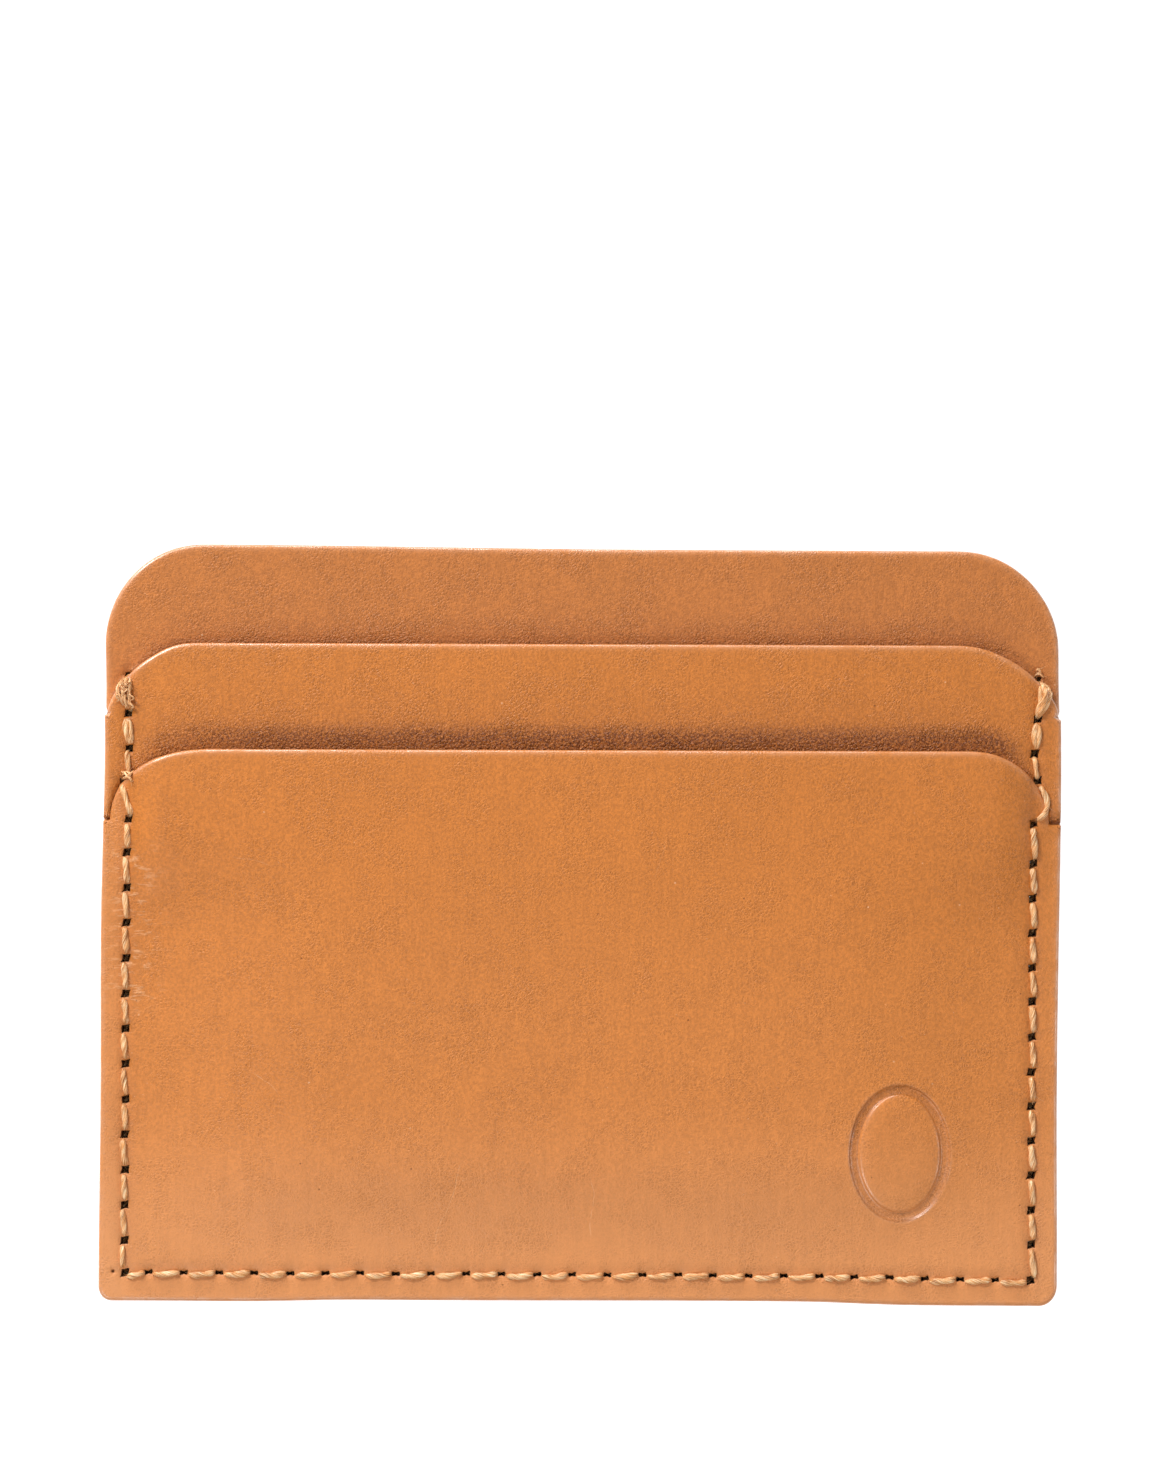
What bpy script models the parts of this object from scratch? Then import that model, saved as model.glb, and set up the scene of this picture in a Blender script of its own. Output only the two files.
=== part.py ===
"""Slim leather card holder: a centre compartment between two panels, with two stepped card pockets in front.

The holder lies on its back: +Z comes out of its front face, +Y runs towards the pocket mouths, and
the origin is the middle of its footprint on the surface it rests on. Heights called "up" in the outlines
are distances from the bottom edge along +Y. All lengths are in metres.
"""

import math

import bmesh
import bpy
from mathutils import Matrix, Vector

MM = 0.001

# The two body panels.
WIDTH = 100.0 * MM
HEIGHT = 78.5 * MM
PANEL_THICKNESS = 1.1 * MM
TOP_CORNER_RADIUS = 10.4 * MM
BOTTOM_CORNER_RADIUS = 1.7 * MM
TOP_INSET = 0.2 * MM

# The two pockets. Mouths are measured down from the panels' top edge.
POCKET_THICKNESS = 1.0 * MM
UPPER_MOUTH_DROP = 10.1 * MM
UPPER_SHOULDER_DROP = 7.1 * MM
FRONT_MOUTH_DROP = 21.3 * MM
FRONT_SHOULDER_DROP = 7.2 * MM
BASE_SEAM_UP = 14.0 * MM
STEM_TAIL = 3.0 * MM
STEM_MARGIN = 7.0 * MM
TAB_SLANT = 0.5 * MM

# A shoulder's run, fullness and step in from the outer edge, on the left and on the right.
UPPER_RUNS = {-1: 8.0 * MM, 1: 9.4 * MM}
UPPER_FULLNESS = {-1: 1.5, 1: 1.5}
UPPER_STEPS = {-1: 0.35 * MM, 1: 0.30 * MM}
FRONT_RUNS = {-1: 10.1 * MM, 1: 7.4 * MM}
FRONT_FULLNESS = {-1: 2.0, 1: 1.6}
FRONT_STEPS = {-1: 0.75 * MM, 1: 1.15 * MM}

# How the layers meet.
LAYER_GAP = 0.3 * MM
BUTT_GAP = 0.15 * MM
NOTCH_DEPTH = 0.35 * MM
NOTCH_HEIGHT = 0.30 * MM
RAMP = 2.9 * MM
BASE_RAMP = 7.5 * MM
STEM_CLEARANCE = 0.3 * MM

# The outer seam and the hidden seam along the base of the upper pocket.
SEAM_INSET = 2.7 * MM
SEAM_OVERRUN = 4.2 * MM
STITCH_PITCH = 3.7 * MM
SLOT_SLANT = math.radians(35.0)
THREAD_RADIUS = 0.28 * MM
THREAD_CLEARANCE = 0.06 * MM
LEG_OFFSET = 0.30 * MM
LEG_SHARE = 0.5
LOCK_GAP = 0.30 * MM
CHANNEL_FLOOR = 0.03 * MM
BASE_THREAD_RADIUS = 0.17 * MM
BASE_LEG_OFFSET = 0.22 * MM
BASE_SEAM_MARGIN = 3.0 * MM
THREAD_END_RADIUS = 0.40 * MM
THREAD_END_TAPER = (0.45, 1.0, 1.0, 0.6)

# The seam tape that holds the layers together before they are sewn.
TAPE_THICKNESS = 0.1 * MM
TAPE_WIDTH = 1.5 * MM
TAPE_EDGE = 0.4 * MM

# The blank oval stamp on the front pocket.
STAMP_CENTRE_FROM_RIGHT = 16.5 * MM
STAMP_CENTRE_UP = 15.6 * MM
STAMP_WIDTH = 10.8 * MM
STAMP_HEIGHT = 14.5 * MM
STAMP_LINE = 0.9 * MM
STAMP_DEPTH = 0.25 * MM

# How finely round shapes are drawn.
CORNER_STEPS = 8
SHOULDER_STEPS = 12
RAMP_STEPS = 5
STAMP_STEPS = 40
THREAD_BEVEL_RESOLUTION = 0
THREAD_END_BEVEL_RESOLUTION = 2
SPAN_STEPS = 6
WELD = 1e-6
CUT_MARGIN = 1.0 * MM

# Levels and lines that follow from the sizes above.
REAR_TOP = PANEL_THICKNESS
CENTRE_LOW = REAR_TOP + LAYER_GAP
CENTRE_TOP = CENTRE_LOW + PANEL_THICKNESS
POCKET_LOW = CENTRE_TOP + LAYER_GAP
POCKET_TOP = POCKET_LOW + POCKET_THICKNESS
FRONT_RISE = POCKET_THICKNESS + LAYER_GAP
UPPER_MOUTH = HEIGHT - UPPER_MOUTH_DROP
FRONT_MOUTH = HEIGHT - FRONT_MOUTH_DROP
TAB_TOP = UPPER_MOUTH - UPPER_SHOULDER_DROP
TAB_FOOT = FRONT_MOUTH - FRONT_SHOULDER_DROP
STEM_HALF = WIDTH / 2 - STEM_MARGIN
STEM_FOOT = BASE_SEAM_UP - STEM_TAIL
SEAM_TOP = TAB_TOP + SEAM_OVERRUN
MIDDLE = HEIGHT / 2


def smooth(share):
    """A share clamped to 0..1 and eased at both ends."""
    share = min(max(share, 0.0), 1.0)
    return share * share * (3.0 - 2.0 * share)


def arc(centre_x, centre_up, radius, start, end):
    """Points of an arc between two angles in degrees."""
    points = []
    for step in range(CORNER_STEPS + 1):
        angle = math.radians(start + (end - start) * step / CORNER_STEPS)
        points.append((centre_x + radius * math.cos(angle), centre_up + radius * math.sin(angle)))
    return points


def shoulder(side, mouth, drop, run, fullness, step):
    """Points of one shoulder from its foot beside the tab up to the mouth; side is -1 or 1."""
    foot = WIDTH / 2 - step
    power = 2.0 / fullness
    points = []
    for index in range(SHOULDER_STEPS + 1):
        angle = math.pi / 2 * index / SHOULDER_STEPS
        across = foot - run * (1.0 - abs(math.cos(angle)) ** power)
        up = mouth - drop * (1.0 - math.sin(angle) ** power)
        points.append((side * across, up))
    return points


def pocket_edge(x, mouth, drop, runs, fullnesses, steps):
    """How far up a pocket reaches at x."""
    side = -1 if x < 0 else 1
    inward = (WIDTH / 2 - steps[side] - abs(x)) / runs[side]
    if inward <= 0.0:
        return mouth - drop
    if inward >= 1.0:
        return mouth
    full = fullnesses[side]
    return mouth - drop * (1.0 - (1.0 - (1.0 - inward) ** full) ** (1.0 / full))


def upper_edge(x):
    return pocket_edge(x, UPPER_MOUTH, UPPER_SHOULDER_DROP, UPPER_RUNS, UPPER_FULLNESS, UPPER_STEPS)


def front_edge(x):
    return pocket_edge(x, FRONT_MOUTH, FRONT_SHOULDER_DROP, FRONT_RUNS, FRONT_FULLNESS, FRONT_STEPS)


def front_rise(x, up):
    """How far the front pocket stands above its own margins, where it passes over the upper pocket."""
    over_stem = smooth((STEM_HALF + STEM_CLEARANCE + RAMP - abs(x)) / RAMP)
    over_tab = smooth((up - (TAB_FOOT - STEM_CLEARANCE - RAMP)) / RAMP)
    over_base = smooth((up - (STEM_FOOT - STEM_CLEARANCE - BASE_RAMP)) / BASE_RAMP)
    return FRONT_RISE * over_base * (1.0 - (1.0 - over_stem) * (1.0 - over_tab))


def top_surface(x, up):
    """Height of the outermost leather at a point."""
    if up < front_edge(x):
        return POCKET_TOP + front_rise(x, up)
    if up < upper_edge(x):
        return POCKET_TOP
    return CENTRE_TOP


def body_outline():
    """A body panel: square at the base, round at the top, with an alignment nick at each tab."""
    left = arc(-WIDTH / 2 + BOTTOM_CORNER_RADIUS, BOTTOM_CORNER_RADIUS, BOTTOM_CORNER_RADIUS, 270, 180)
    left.append((-WIDTH / 2, TAB_TOP - NOTCH_HEIGHT))
    left.append((-WIDTH / 2 + NOTCH_DEPTH, TAB_TOP - NOTCH_HEIGHT / 2))
    left.append((-WIDTH / 2 + TOP_INSET, TAB_TOP))
    corner = -WIDTH / 2 + TOP_INSET + TOP_CORNER_RADIUS
    left += arc(corner, HEIGHT - TOP_CORNER_RADIUS, TOP_CORNER_RADIUS, 180, 90)
    return left + [(-x, up) for x, up in reversed(left)]


def upper_outline():
    """The upper pocket: a T whose tabs reach the side seams and whose stem hangs inside.

    The tabs' lower edges slant up a little towards the stem, which keeps them clear of the front pocket.
    """
    outline = []
    for side in (-1, 1):
        half = [
            (side * STEM_HALF, STEM_FOOT),
            (side * STEM_HALF, TAB_FOOT + BUTT_GAP / 2 + TAB_SLANT),
            (side * WIDTH / 2, TAB_FOOT + BUTT_GAP / 2),
            (side * WIDTH / 2, TAB_TOP - NOTCH_HEIGHT),
        ]
        shape = (UPPER_RUNS[side], UPPER_FULLNESS[side], UPPER_STEPS[side])
        half += shoulder(side, UPPER_MOUTH, UPPER_SHOULDER_DROP, *shape)
        outline += half if side < 0 else half[::-1]
    return outline


def front_outline():
    """The front pocket: full width below the tabs, stepped in over them."""
    outline = []
    for side in (-1, 1):
        corner = WIDTH / 2 - BOTTOM_CORNER_RADIUS
        half = arc(-corner, BOTTOM_CORNER_RADIUS, BOTTOM_CORNER_RADIUS, 270, 180)
        half = [(-side * x, up) for x, up in half]
        half.append((side * WIDTH / 2, TAB_FOOT - BUTT_GAP / 2))
        half.append((side * (WIDTH / 2 - FRONT_STEPS[side]), TAB_FOOT - BUTT_GAP / 2))
        shape = (FRONT_RUNS[side], FRONT_FULLNESS[side], FRONT_STEPS[side])
        half += shoulder(side, FRONT_MOUTH, FRONT_SHOULDER_DROP, *shape)
        outline += half if side < 0 else half[::-1]
    return outline


def collection(name, hidden=False):
    made = bpy.data.collections.new(name)
    made.hide_render = hidden
    bpy.context.scene.collection.children.link(made)
    return made


def leather(name, colour, roughness):
    """A plain Principled material."""
    made = bpy.data.materials.new(name)
    made.use_nodes = True
    shader = made.node_tree.nodes["Principled BSDF"]
    shader.inputs["Base Color"].default_value = (*colour, 1.0)
    shader.inputs["Roughness"].default_value = roughness
    shader.inputs["Metallic"].default_value = 0.0
    return made


def mesh_from(curve_object):
    """A curve object made into a welded mesh with its faces pointing out; the curve is removed."""
    bpy.context.view_layer.update()
    graph = bpy.context.evaluated_depsgraph_get()
    mesh = bpy.data.meshes.new_from_object(curve_object.evaluated_get(graph))
    work = bmesh.new()
    work.from_mesh(mesh)
    bmesh.ops.transform(work, matrix=curve_object.matrix_world, verts=work.verts)
    bmesh.ops.remove_doubles(work, verts=work.verts, dist=WELD)
    bmesh.ops.recalc_face_normals(work, faces=work.faces)
    work.to_mesh(mesh)
    work.free()
    curve = curve_object.data
    bpy.data.objects.remove(curve_object)
    bpy.data.curves.remove(curve)
    return mesh


def add(name, mesh, into, material=None):
    """A mesh object whose outlines were drawn up from the bottom edge, moved to the holder's frame."""
    made = bpy.data.objects.new(name, mesh)
    made.location = (0.0, -MIDDLE, 0.0)
    into.objects.link(made)
    if material:
        mesh.materials.append(material)
    else:
        made.hide_render = True
        made.display_type = "WIRE"
    return made


def prism(name, loops, low, high, into, material=None):
    """A flat outline, with any inner loops as holes, standing between two heights."""
    curve = bpy.data.curves.new(name, "CURVE")
    curve.dimensions = "2D"
    curve.fill_mode = "BOTH"
    curve.extrude = (high - low) / 2
    for loop in loops:
        spline = curve.splines.new("POLY")
        spline.points.add(len(loop) - 1)
        for point, (x, up) in zip(spline.points, loop):
            point.co = (x, up, 0.0, 1.0)
        spline.use_cyclic_u = True
    drawn = bpy.data.objects.new(name + "_drawn", curve)
    drawn.location = (0.0, 0.0, (low + high) / 2)
    into.objects.link(drawn)
    return add(name, mesh_from(drawn), into, material)


def boxes(name, centres_and_sizes, into, turns=None):
    """Separate boxes in one cutter, each with its own turn about Z."""
    work = bmesh.new()
    for index, (centre, size) in enumerate(centres_and_sizes):
        turn = turns[index] if turns else 0.0
        scale = Matrix.Diagonal((*size, 1.0))
        place = Matrix.Translation(centre) @ Matrix.Rotation(turn, 4, "Z") @ scale
        bmesh.ops.create_cube(work, size=1.0, matrix=place)
    mesh = bpy.data.meshes.new(name)
    work.to_mesh(mesh)
    work.free()
    return add(name, mesh, into)


def boolean(target, cutter, operation="DIFFERENCE"):
    modifier = target.modifiers.new(cutter.name, "BOOLEAN")
    modifier.operation = operation
    modifier.solver = "EXACT"
    modifier.object = cutter


def run_between(start, end):
    """Evenly pitched points from start to end, with as near to the stitch pitch as fits."""
    count = max(1, round((Vector(end) - Vector(start)).length / STITCH_PITCH))
    return [Vector(start).lerp(Vector(end), step / count) for step in range(count + 1)]


def outer_seam_holes():
    """Down the left side, along the base and up the right side."""
    reach = WIDTH / 2 - SEAM_INSET
    left = run_between((-reach, SEAM_TOP), (-reach, SEAM_INSET))
    base = run_between((-reach, SEAM_INSET), (reach, SEAM_INSET))
    right = run_between((reach, SEAM_INSET), (reach, SEAM_TOP))
    return left + base[1:] + right[1:]


def base_seam_holes():
    reach = STEM_HALF - BASE_SEAM_MARGIN
    return run_between((-reach, BASE_SEAM_UP), (reach, BASE_SEAM_UP))


def slot_directions(holes):
    """The long direction of each slot: the seam's direction there, turned by the slant."""
    directions = []
    for index in range(len(holes)):
        before = holes[max(index - 1, 0)]
        after = holes[min(index + 1, len(holes) - 1)]
        along = (after - before).normalized()
        along.rotate(Matrix.Rotation(SLOT_SLANT, 2))
        directions.append(along)
    return directions


def slot_size(radius, offset):
    """Length and width of a slot, which holds the two legs of thread that share it."""
    return 2 * (offset + radius + THREAD_CLEARANCE), 2 * (radius + THREAD_CLEARANCE)


def groove_half(radius, offset):
    """Half the width of a groove that takes in the slanted slots whole."""
    length, width = slot_size(radius, offset)
    return (length * math.sin(SLOT_SLANT) + width * math.cos(SLOT_SLANT)) / 2 + THREAD_CLEARANCE


def slot_cutter(name, holes, radius, offset, low, high, into):
    """Slanted slots right through the layers."""
    size = (*slot_size(radius, offset), high - low)
    places = [(Vector((*hole, (low + high) / 2)), size) for hole in holes]
    turns = [math.atan2(way.y, way.x) for way in slot_directions(holes)]
    return boxes(name, places, into, turns)


def thread(name, holes, radius, offset, lie, lock, into, material):
    """One thread of a lockstitch: it lies along the surface and dips into each slot to the lock.

    lie(point) is the height of its centre line on the surface and lock(point) its height in the slot.
    """
    points = []
    directions = slot_directions(holes)
    for index, (hole, way) in enumerate(zip(holes, directions)):
        arriving = hole - way * offset
        leaving = hole + way * offset
        if index > 0:
            points.append((*arriving, lie(arriving), 1.0))
            points.append((*arriving, lock(hole), LEG_SHARE))
        if index < len(holes) - 1:
            points.append((*leaving, lock(hole), LEG_SHARE))
            points.append((*leaving, lie(leaving), 1.0))
            following = holes[index + 1] - directions[index + 1] * offset
            points += span(leaving, following, lie)
    curve = bpy.data.curves.new(name, "CURVE")
    curve.dimensions = "3D"
    curve.bevel_depth = radius
    curve.bevel_resolution = THREAD_BEVEL_RESOLUTION
    curve.use_fill_caps = True
    spline = curve.splines.new("POLY")
    spline.points.add(len(points) - 1)
    for point, (x, up, z, share) in zip(spline.points, points):
        point.co = (x, up, z, 1.0)
        point.radius = share
    drawn = bpy.data.objects.new(name + "_drawn", curve)
    into.objects.link(drawn)
    return add(name, mesh_from(drawn), into, material)


def span(start, end, lie):
    """Points between two slots, needed only where the surface isn't straight between them."""
    inner = [start.lerp(end, step / SPAN_STEPS) for step in range(1, SPAN_STEPS)]
    first = lie(start)
    last = lie(end)
    straight = [first + (last - first) * step / SPAN_STEPS for step in range(1, SPAN_STEPS)]
    off = max(abs(lie(point) - height) for point, height in zip(inner, straight))
    if off < THREAD_CLEARANCE / 2:
        return []
    return [(*point, lie(point), 1.0) for point in inner]


def on_front(point):
    """Centre line of the needle thread: clear of the highest leather within its own reach."""
    reach = THREAD_RADIUS + THREAD_CLEARANCE
    highest = 0.0
    for across in (-reach, 0.0, reach):
        for along in (-reach, 0.0, reach):
            highest = max(highest, top_surface(point.x + across, point.y + along))
    return highest + reach


def u_loop(inner, outer, foot, top):
    """A U-shaped strip that follows the sides and the base."""
    return [
        (-outer, top),
        (-outer, foot),
        (outer, foot),
        (outer, top),
        (inner, top),
        (inner, foot + outer - inner),
        (-inner, foot + outer - inner),
        (-inner, top),
    ]


def rectangle(x_low, x_high, up_low, up_high):
    return [(x_low, up_low), (x_high, up_low), (x_high, up_high), (x_low, up_high)]


def make_cutters(into):
    """Every cutter that more than one leather piece needs."""
    low = -CUT_MARGIN
    high = POCKET_TOP + FRONT_RISE + CUT_MARGIN
    outer = outer_seam_holes()
    half = groove_half(THREAD_RADIUS, LEG_OFFSET)
    reach = WIDTH / 2 - SEAM_INSET
    depth = CHANNEL_FLOOR + 2 * THREAD_RADIUS + THREAD_CLEARANCE
    channel = u_loop(reach - half, reach + half, SEAM_INSET - half, SEAM_TOP + LEG_OFFSET + half)
    base_half = groove_half(BASE_THREAD_RADIUS, BASE_LEG_OFFSET)
    base_reach = STEM_HALF - BASE_SEAM_MARGIN + BASE_LEG_OFFSET + base_half
    base_strip = rectangle(-base_reach, base_reach, BASE_SEAM_UP - base_half, BASE_SEAM_UP + base_half)
    base_depth = CHANNEL_FLOOR + 2 * BASE_THREAD_RADIUS + THREAD_CLEARANCE
    return {
        "slots": slot_cutter("seam_slots", outer, THREAD_RADIUS, LEG_OFFSET, low, high, into),
        "base_slots": slot_cutter(
            "base_seam_slots", base_seam_holes(), BASE_THREAD_RADIUS, BASE_LEG_OFFSET, low, high, into
        ),
        "channel": prism("rear_channel", [channel], -CUT_MARGIN, depth, into),
        "base_front": prism("base_groove_front", [base_strip], POCKET_TOP - base_depth, high, into),
        "base_rear": prism("base_groove_rear", [base_strip], low, CENTRE_LOW + base_depth, into),
    }


def make_rear_panel(parts, cutters, material):
    panel = prism("rear_panel", [body_outline()], 0.0, REAR_TOP, parts, material)
    boolean(panel, cutters["channel"])
    boolean(panel, cutters["slots"])


def make_centre_panel(parts, cutters, material):
    panel = prism("centre_panel", [body_outline()], CENTRE_LOW, CENTRE_TOP, parts, material)
    boolean(panel, cutters["slots"])
    boolean(panel, cutters["base_rear"])
    boolean(panel, cutters["base_slots"])


def make_upper_pocket(parts, cutters, material):
    pocket = prism("upper_pocket", [upper_outline()], POCKET_LOW, POCKET_TOP, parts, material)
    boolean(pocket, cutters["slots"])
    boolean(pocket, cutters["base_front"])
    boolean(pocket, cutters["base_slots"])


def ramp_lines(low, high):
    """Where a ramp between two places is creased, its ends included."""
    return [low + (high - low) * step / RAMP_STEPS for step in range(RAMP_STEPS + 1)]


def make_front_pocket(parts, guides, cutters, material):
    """A plate creased along its ramps and raised where it passes over the upper pocket, then cut out."""
    length = HEIGHT + 2 * CUT_MARGIN
    width = WIDTH + 2 * CUT_MARGIN
    work = bmesh.new()
    middle = Vector((0.0, HEIGHT / 2, POCKET_LOW + POCKET_THICKNESS / 2))
    plate = Matrix.Translation(middle) @ Matrix.Diagonal((width, length, POCKET_THICKNESS, 1.0))
    bmesh.ops.create_cube(work, size=1.0, matrix=plate)
    stem_end = STEM_HALF + STEM_CLEARANCE
    across = ramp_lines(stem_end, stem_end + RAMP)
    for x in [-line for line in across] + across:
        crease(work, (x, 0.0, 0.0), (1.0, 0.0, 0.0))
    base_end = STEM_FOOT - STEM_CLEARANCE
    tab_end = TAB_FOOT - STEM_CLEARANCE
    for up in ramp_lines(base_end - BASE_RAMP, base_end) + ramp_lines(tab_end - RAMP, tab_end):
        crease(work, (0.0, up, 0.0), (0.0, 1.0, 0.0))
    for vert in work.verts:
        vert.co.z += front_rise(vert.co.x, vert.co.y)
    bmesh.ops.recalc_face_normals(work, faces=work.faces)
    mesh = bpy.data.meshes.new("front_pocket")
    work.to_mesh(mesh)
    work.free()
    pocket = add("front_pocket", mesh, parts, material)
    high = POCKET_TOP + FRONT_RISE + CUT_MARGIN
    outline = prism("front_pocket_outline", [front_outline()], POCKET_LOW - CUT_MARGIN, high, guides)
    boolean(pocket, outline, "INTERSECT")
    boolean(pocket, cutters["slots"])
    boolean(pocket, make_stamp_cutter(guides))


def crease(work, point, normal):
    """A line of edges right through a plate."""
    geometry = work.verts[:] + work.edges[:] + work.faces[:]
    bmesh.ops.bisect_plane(work, geom=geometry, plane_co=point, plane_no=normal, dist=WELD)


def ellipse(half_width, half_height):
    centre_x = WIDTH / 2 - STAMP_CENTRE_FROM_RIGHT
    points = []
    for step in range(STAMP_STEPS):
        angle = 2 * math.pi * step / STAMP_STEPS
        x = centre_x + half_width * math.cos(angle)
        points.append((x, STAMP_CENTRE_UP + half_height * math.sin(angle)))
    return points


def make_stamp_cutter(guides):
    """The oval line of the stamp, sunk by one depth below the curved face of the pocket."""
    outer = ellipse(STAMP_WIDTH / 2, STAMP_HEIGHT / 2)
    inner = ellipse(STAMP_WIDTH / 2 - STAMP_LINE, STAMP_HEIGHT / 2 - STAMP_LINE)
    cutter = prism("stamp_line", [outer, inner], POCKET_TOP - STAMP_DEPTH, POCKET_TOP + CUT_MARGIN, guides)
    for vert in cutter.data.vertices:
        vert.co.z += front_rise(vert.co.x, vert.co.y)
    return cutter


def make_outer_threads(parts, material):
    holes = outer_seam_holes()

    def needle_lock(point):
        return (top_surface(point.x, point.y) + LOCK_GAP) / 2 + THREAD_RADIUS * LEG_SHARE

    def bobbin_lock(point):
        return (top_surface(point.x, point.y) - LOCK_GAP) / 2 - THREAD_RADIUS * LEG_SHARE

    def in_channel(point):
        return CHANNEL_FLOOR + THREAD_RADIUS

    gauge = (THREAD_RADIUS, LEG_OFFSET)
    thread("needle_thread", holes, *gauge, on_front, needle_lock, parts, material)
    thread("bobbin_thread", holes, *gauge, in_channel, bobbin_lock, parts, material)


def make_base_threads(parts, material):
    holes = base_seam_holes()
    lock = (POCKET_TOP + CENTRE_LOW) / 2
    apart = LOCK_GAP / 2 + BASE_THREAD_RADIUS * LEG_SHARE
    sunk = CHANNEL_FLOOR + BASE_THREAD_RADIUS

    def in_front_groove(point):
        return POCKET_TOP - sunk

    def in_rear_groove(point):
        return CENTRE_LOW + sunk

    def needle_lock(point):
        return lock + apart

    def bobbin_lock(point):
        return lock - apart

    gauge = (BASE_THREAD_RADIUS, BASE_LEG_OFFSET)
    thread("base_seam_needle_thread", holes, *gauge, in_front_groove, needle_lock, parts, material)
    thread("base_seam_bobbin_thread", holes, *gauge, in_rear_groove, bobbin_lock, parts, material)


def make_thread_end(name, side, parts, material):
    """The cut end of the thread, a short tuft that lies beside the first stitch."""
    sideways = LEG_OFFSET + THREAD_RADIUS + THREAD_END_RADIUS + 2 * THREAD_CLEARANCE
    x = side * (WIDTH / 2 - SEAM_INSET + sideways)
    curve = bpy.data.curves.new(name, "CURVE")
    curve.dimensions = "3D"
    curve.bevel_depth = THREAD_END_RADIUS
    curve.bevel_resolution = THREAD_END_BEVEL_RESOLUTION
    curve.use_fill_caps = True
    spline = curve.splines.new("POLY")
    spline.points.add(len(THREAD_END_TAPER) - 1)
    for index, (point, share) in enumerate(zip(spline.points, THREAD_END_TAPER)):
        up = SEAM_TOP - STITCH_PITCH * index / (len(THREAD_END_TAPER) - 1)
        near = (up - THREAD_END_RADIUS, up, up + THREAD_END_RADIUS)
        surface = max(top_surface(x - side * THREAD_END_RADIUS, height) for height in near)
        point.co = (x, up, surface + THREAD_END_RADIUS + THREAD_CLEARANCE, 1.0)
        point.radius = share
    drawn = bpy.data.objects.new(name + "_drawn", curve)
    parts.objects.link(drawn)
    made = add(name, mesh_from(drawn), parts, material)
    made.data.shade_smooth()


def make_tapes(parts, material):
    """Strips of double-sided tape that lie outside the stitches, between the layers."""
    outer = WIDTH / 2 - TAPE_EDGE
    inner = outer - TAPE_WIDTH
    lift = (LAYER_GAP - TAPE_THICKNESS) / 2
    rear = [u_loop(inner, outer, TAPE_EDGE, TAB_TOP - NOTCH_HEIGHT - TAPE_EDGE)]
    prism("rear_seam_tape", rear, REAR_TOP + lift, REAR_TOP + lift + TAPE_THICKNESS, parts, material)
    low = CENTRE_TOP + lift
    front = [u_loop(inner, outer, TAPE_EDGE, TAB_FOOT - RAMP)]
    prism("front_seam_tape", front, low, low + TAPE_THICKNESS, parts, material)
    for side, name in ((-1, "left_tab_tape"), (1, "right_tab_tape")):
        ends = sorted((side * inner, side * outer))
        strip = rectangle(*ends, TAB_FOOT + TAPE_EDGE, TAB_TOP - NOTCH_HEIGHT - TAPE_EDGE)
        prism(name, [strip], low, low + TAPE_THICKNESS, parts, material)


def main():
    for obj in list(bpy.data.objects):
        bpy.data.objects.remove(obj)
    parts = collection("card_holder")
    guides = collection("card_holder_cutters", hidden=True)
    tan = (0.60, 0.23, 0.07)
    body_leather = leather("body_leather", tan, 0.45)
    pocket_leather = leather("pocket_leather", (0.63, 0.25, 0.08), 0.42)
    sewing_thread = leather("sewing_thread", (0.86, 0.62, 0.40), 0.7)
    seam_tape = leather("seam_tape", (0.80, 0.76, 0.66), 0.6)
    cutters = make_cutters(guides)
    make_rear_panel(parts, cutters, body_leather)
    make_centre_panel(parts, cutters, body_leather.copy())
    make_upper_pocket(parts, cutters, pocket_leather)
    make_front_pocket(parts, guides, cutters, pocket_leather.copy())
    make_outer_threads(parts, sewing_thread)
    make_base_threads(parts, sewing_thread.copy())
    make_thread_end("left_thread_end", -1, parts, sewing_thread.copy())
    make_thread_end("right_thread_end", 1, parts, sewing_thread.copy())
    make_tapes(parts, seam_tape)


main()
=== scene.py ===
# %% [markdown]
# # A stitched tan leather card holder
#
# The real object is four leather pieces, sewn together on three sides with one pale lockstitched seam.
# Everything you see on it is either leather that has been cut, rounded, creased and pulled by thread, or
# the thread itself. So this lesson has three subjects: how to make a leather panel whose edge and face
# are real geometry, how to sew it, and how to give both a finish that holds up close.
#
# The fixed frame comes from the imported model. It says where each piece lies, and nothing here moves it.

# %% Load the frame
import math

import bpy
import numpy as np
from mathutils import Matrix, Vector, geometry, kdtree


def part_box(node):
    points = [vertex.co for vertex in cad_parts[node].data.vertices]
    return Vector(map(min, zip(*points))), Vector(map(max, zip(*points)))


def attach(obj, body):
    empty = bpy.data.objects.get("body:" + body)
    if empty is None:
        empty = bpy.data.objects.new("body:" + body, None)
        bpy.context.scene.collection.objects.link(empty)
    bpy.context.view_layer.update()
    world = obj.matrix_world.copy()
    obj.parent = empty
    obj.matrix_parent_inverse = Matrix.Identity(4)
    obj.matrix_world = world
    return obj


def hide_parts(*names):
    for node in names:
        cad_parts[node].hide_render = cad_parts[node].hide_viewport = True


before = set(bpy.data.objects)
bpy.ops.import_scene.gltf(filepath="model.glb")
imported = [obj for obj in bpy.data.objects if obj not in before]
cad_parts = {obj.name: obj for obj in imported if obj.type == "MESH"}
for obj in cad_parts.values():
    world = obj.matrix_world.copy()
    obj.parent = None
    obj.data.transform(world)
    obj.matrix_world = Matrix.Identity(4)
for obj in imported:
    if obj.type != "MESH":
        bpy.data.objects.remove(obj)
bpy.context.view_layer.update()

print("frame holds", len(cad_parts), "nodes")

# %% [markdown]
# ## Sizes
#
# Each level and edge is read from the frame's own boxes. What the boxes can't say, such as how a
# shoulder curves or how far the seam sits from the edge, is a named size in metres.

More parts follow.
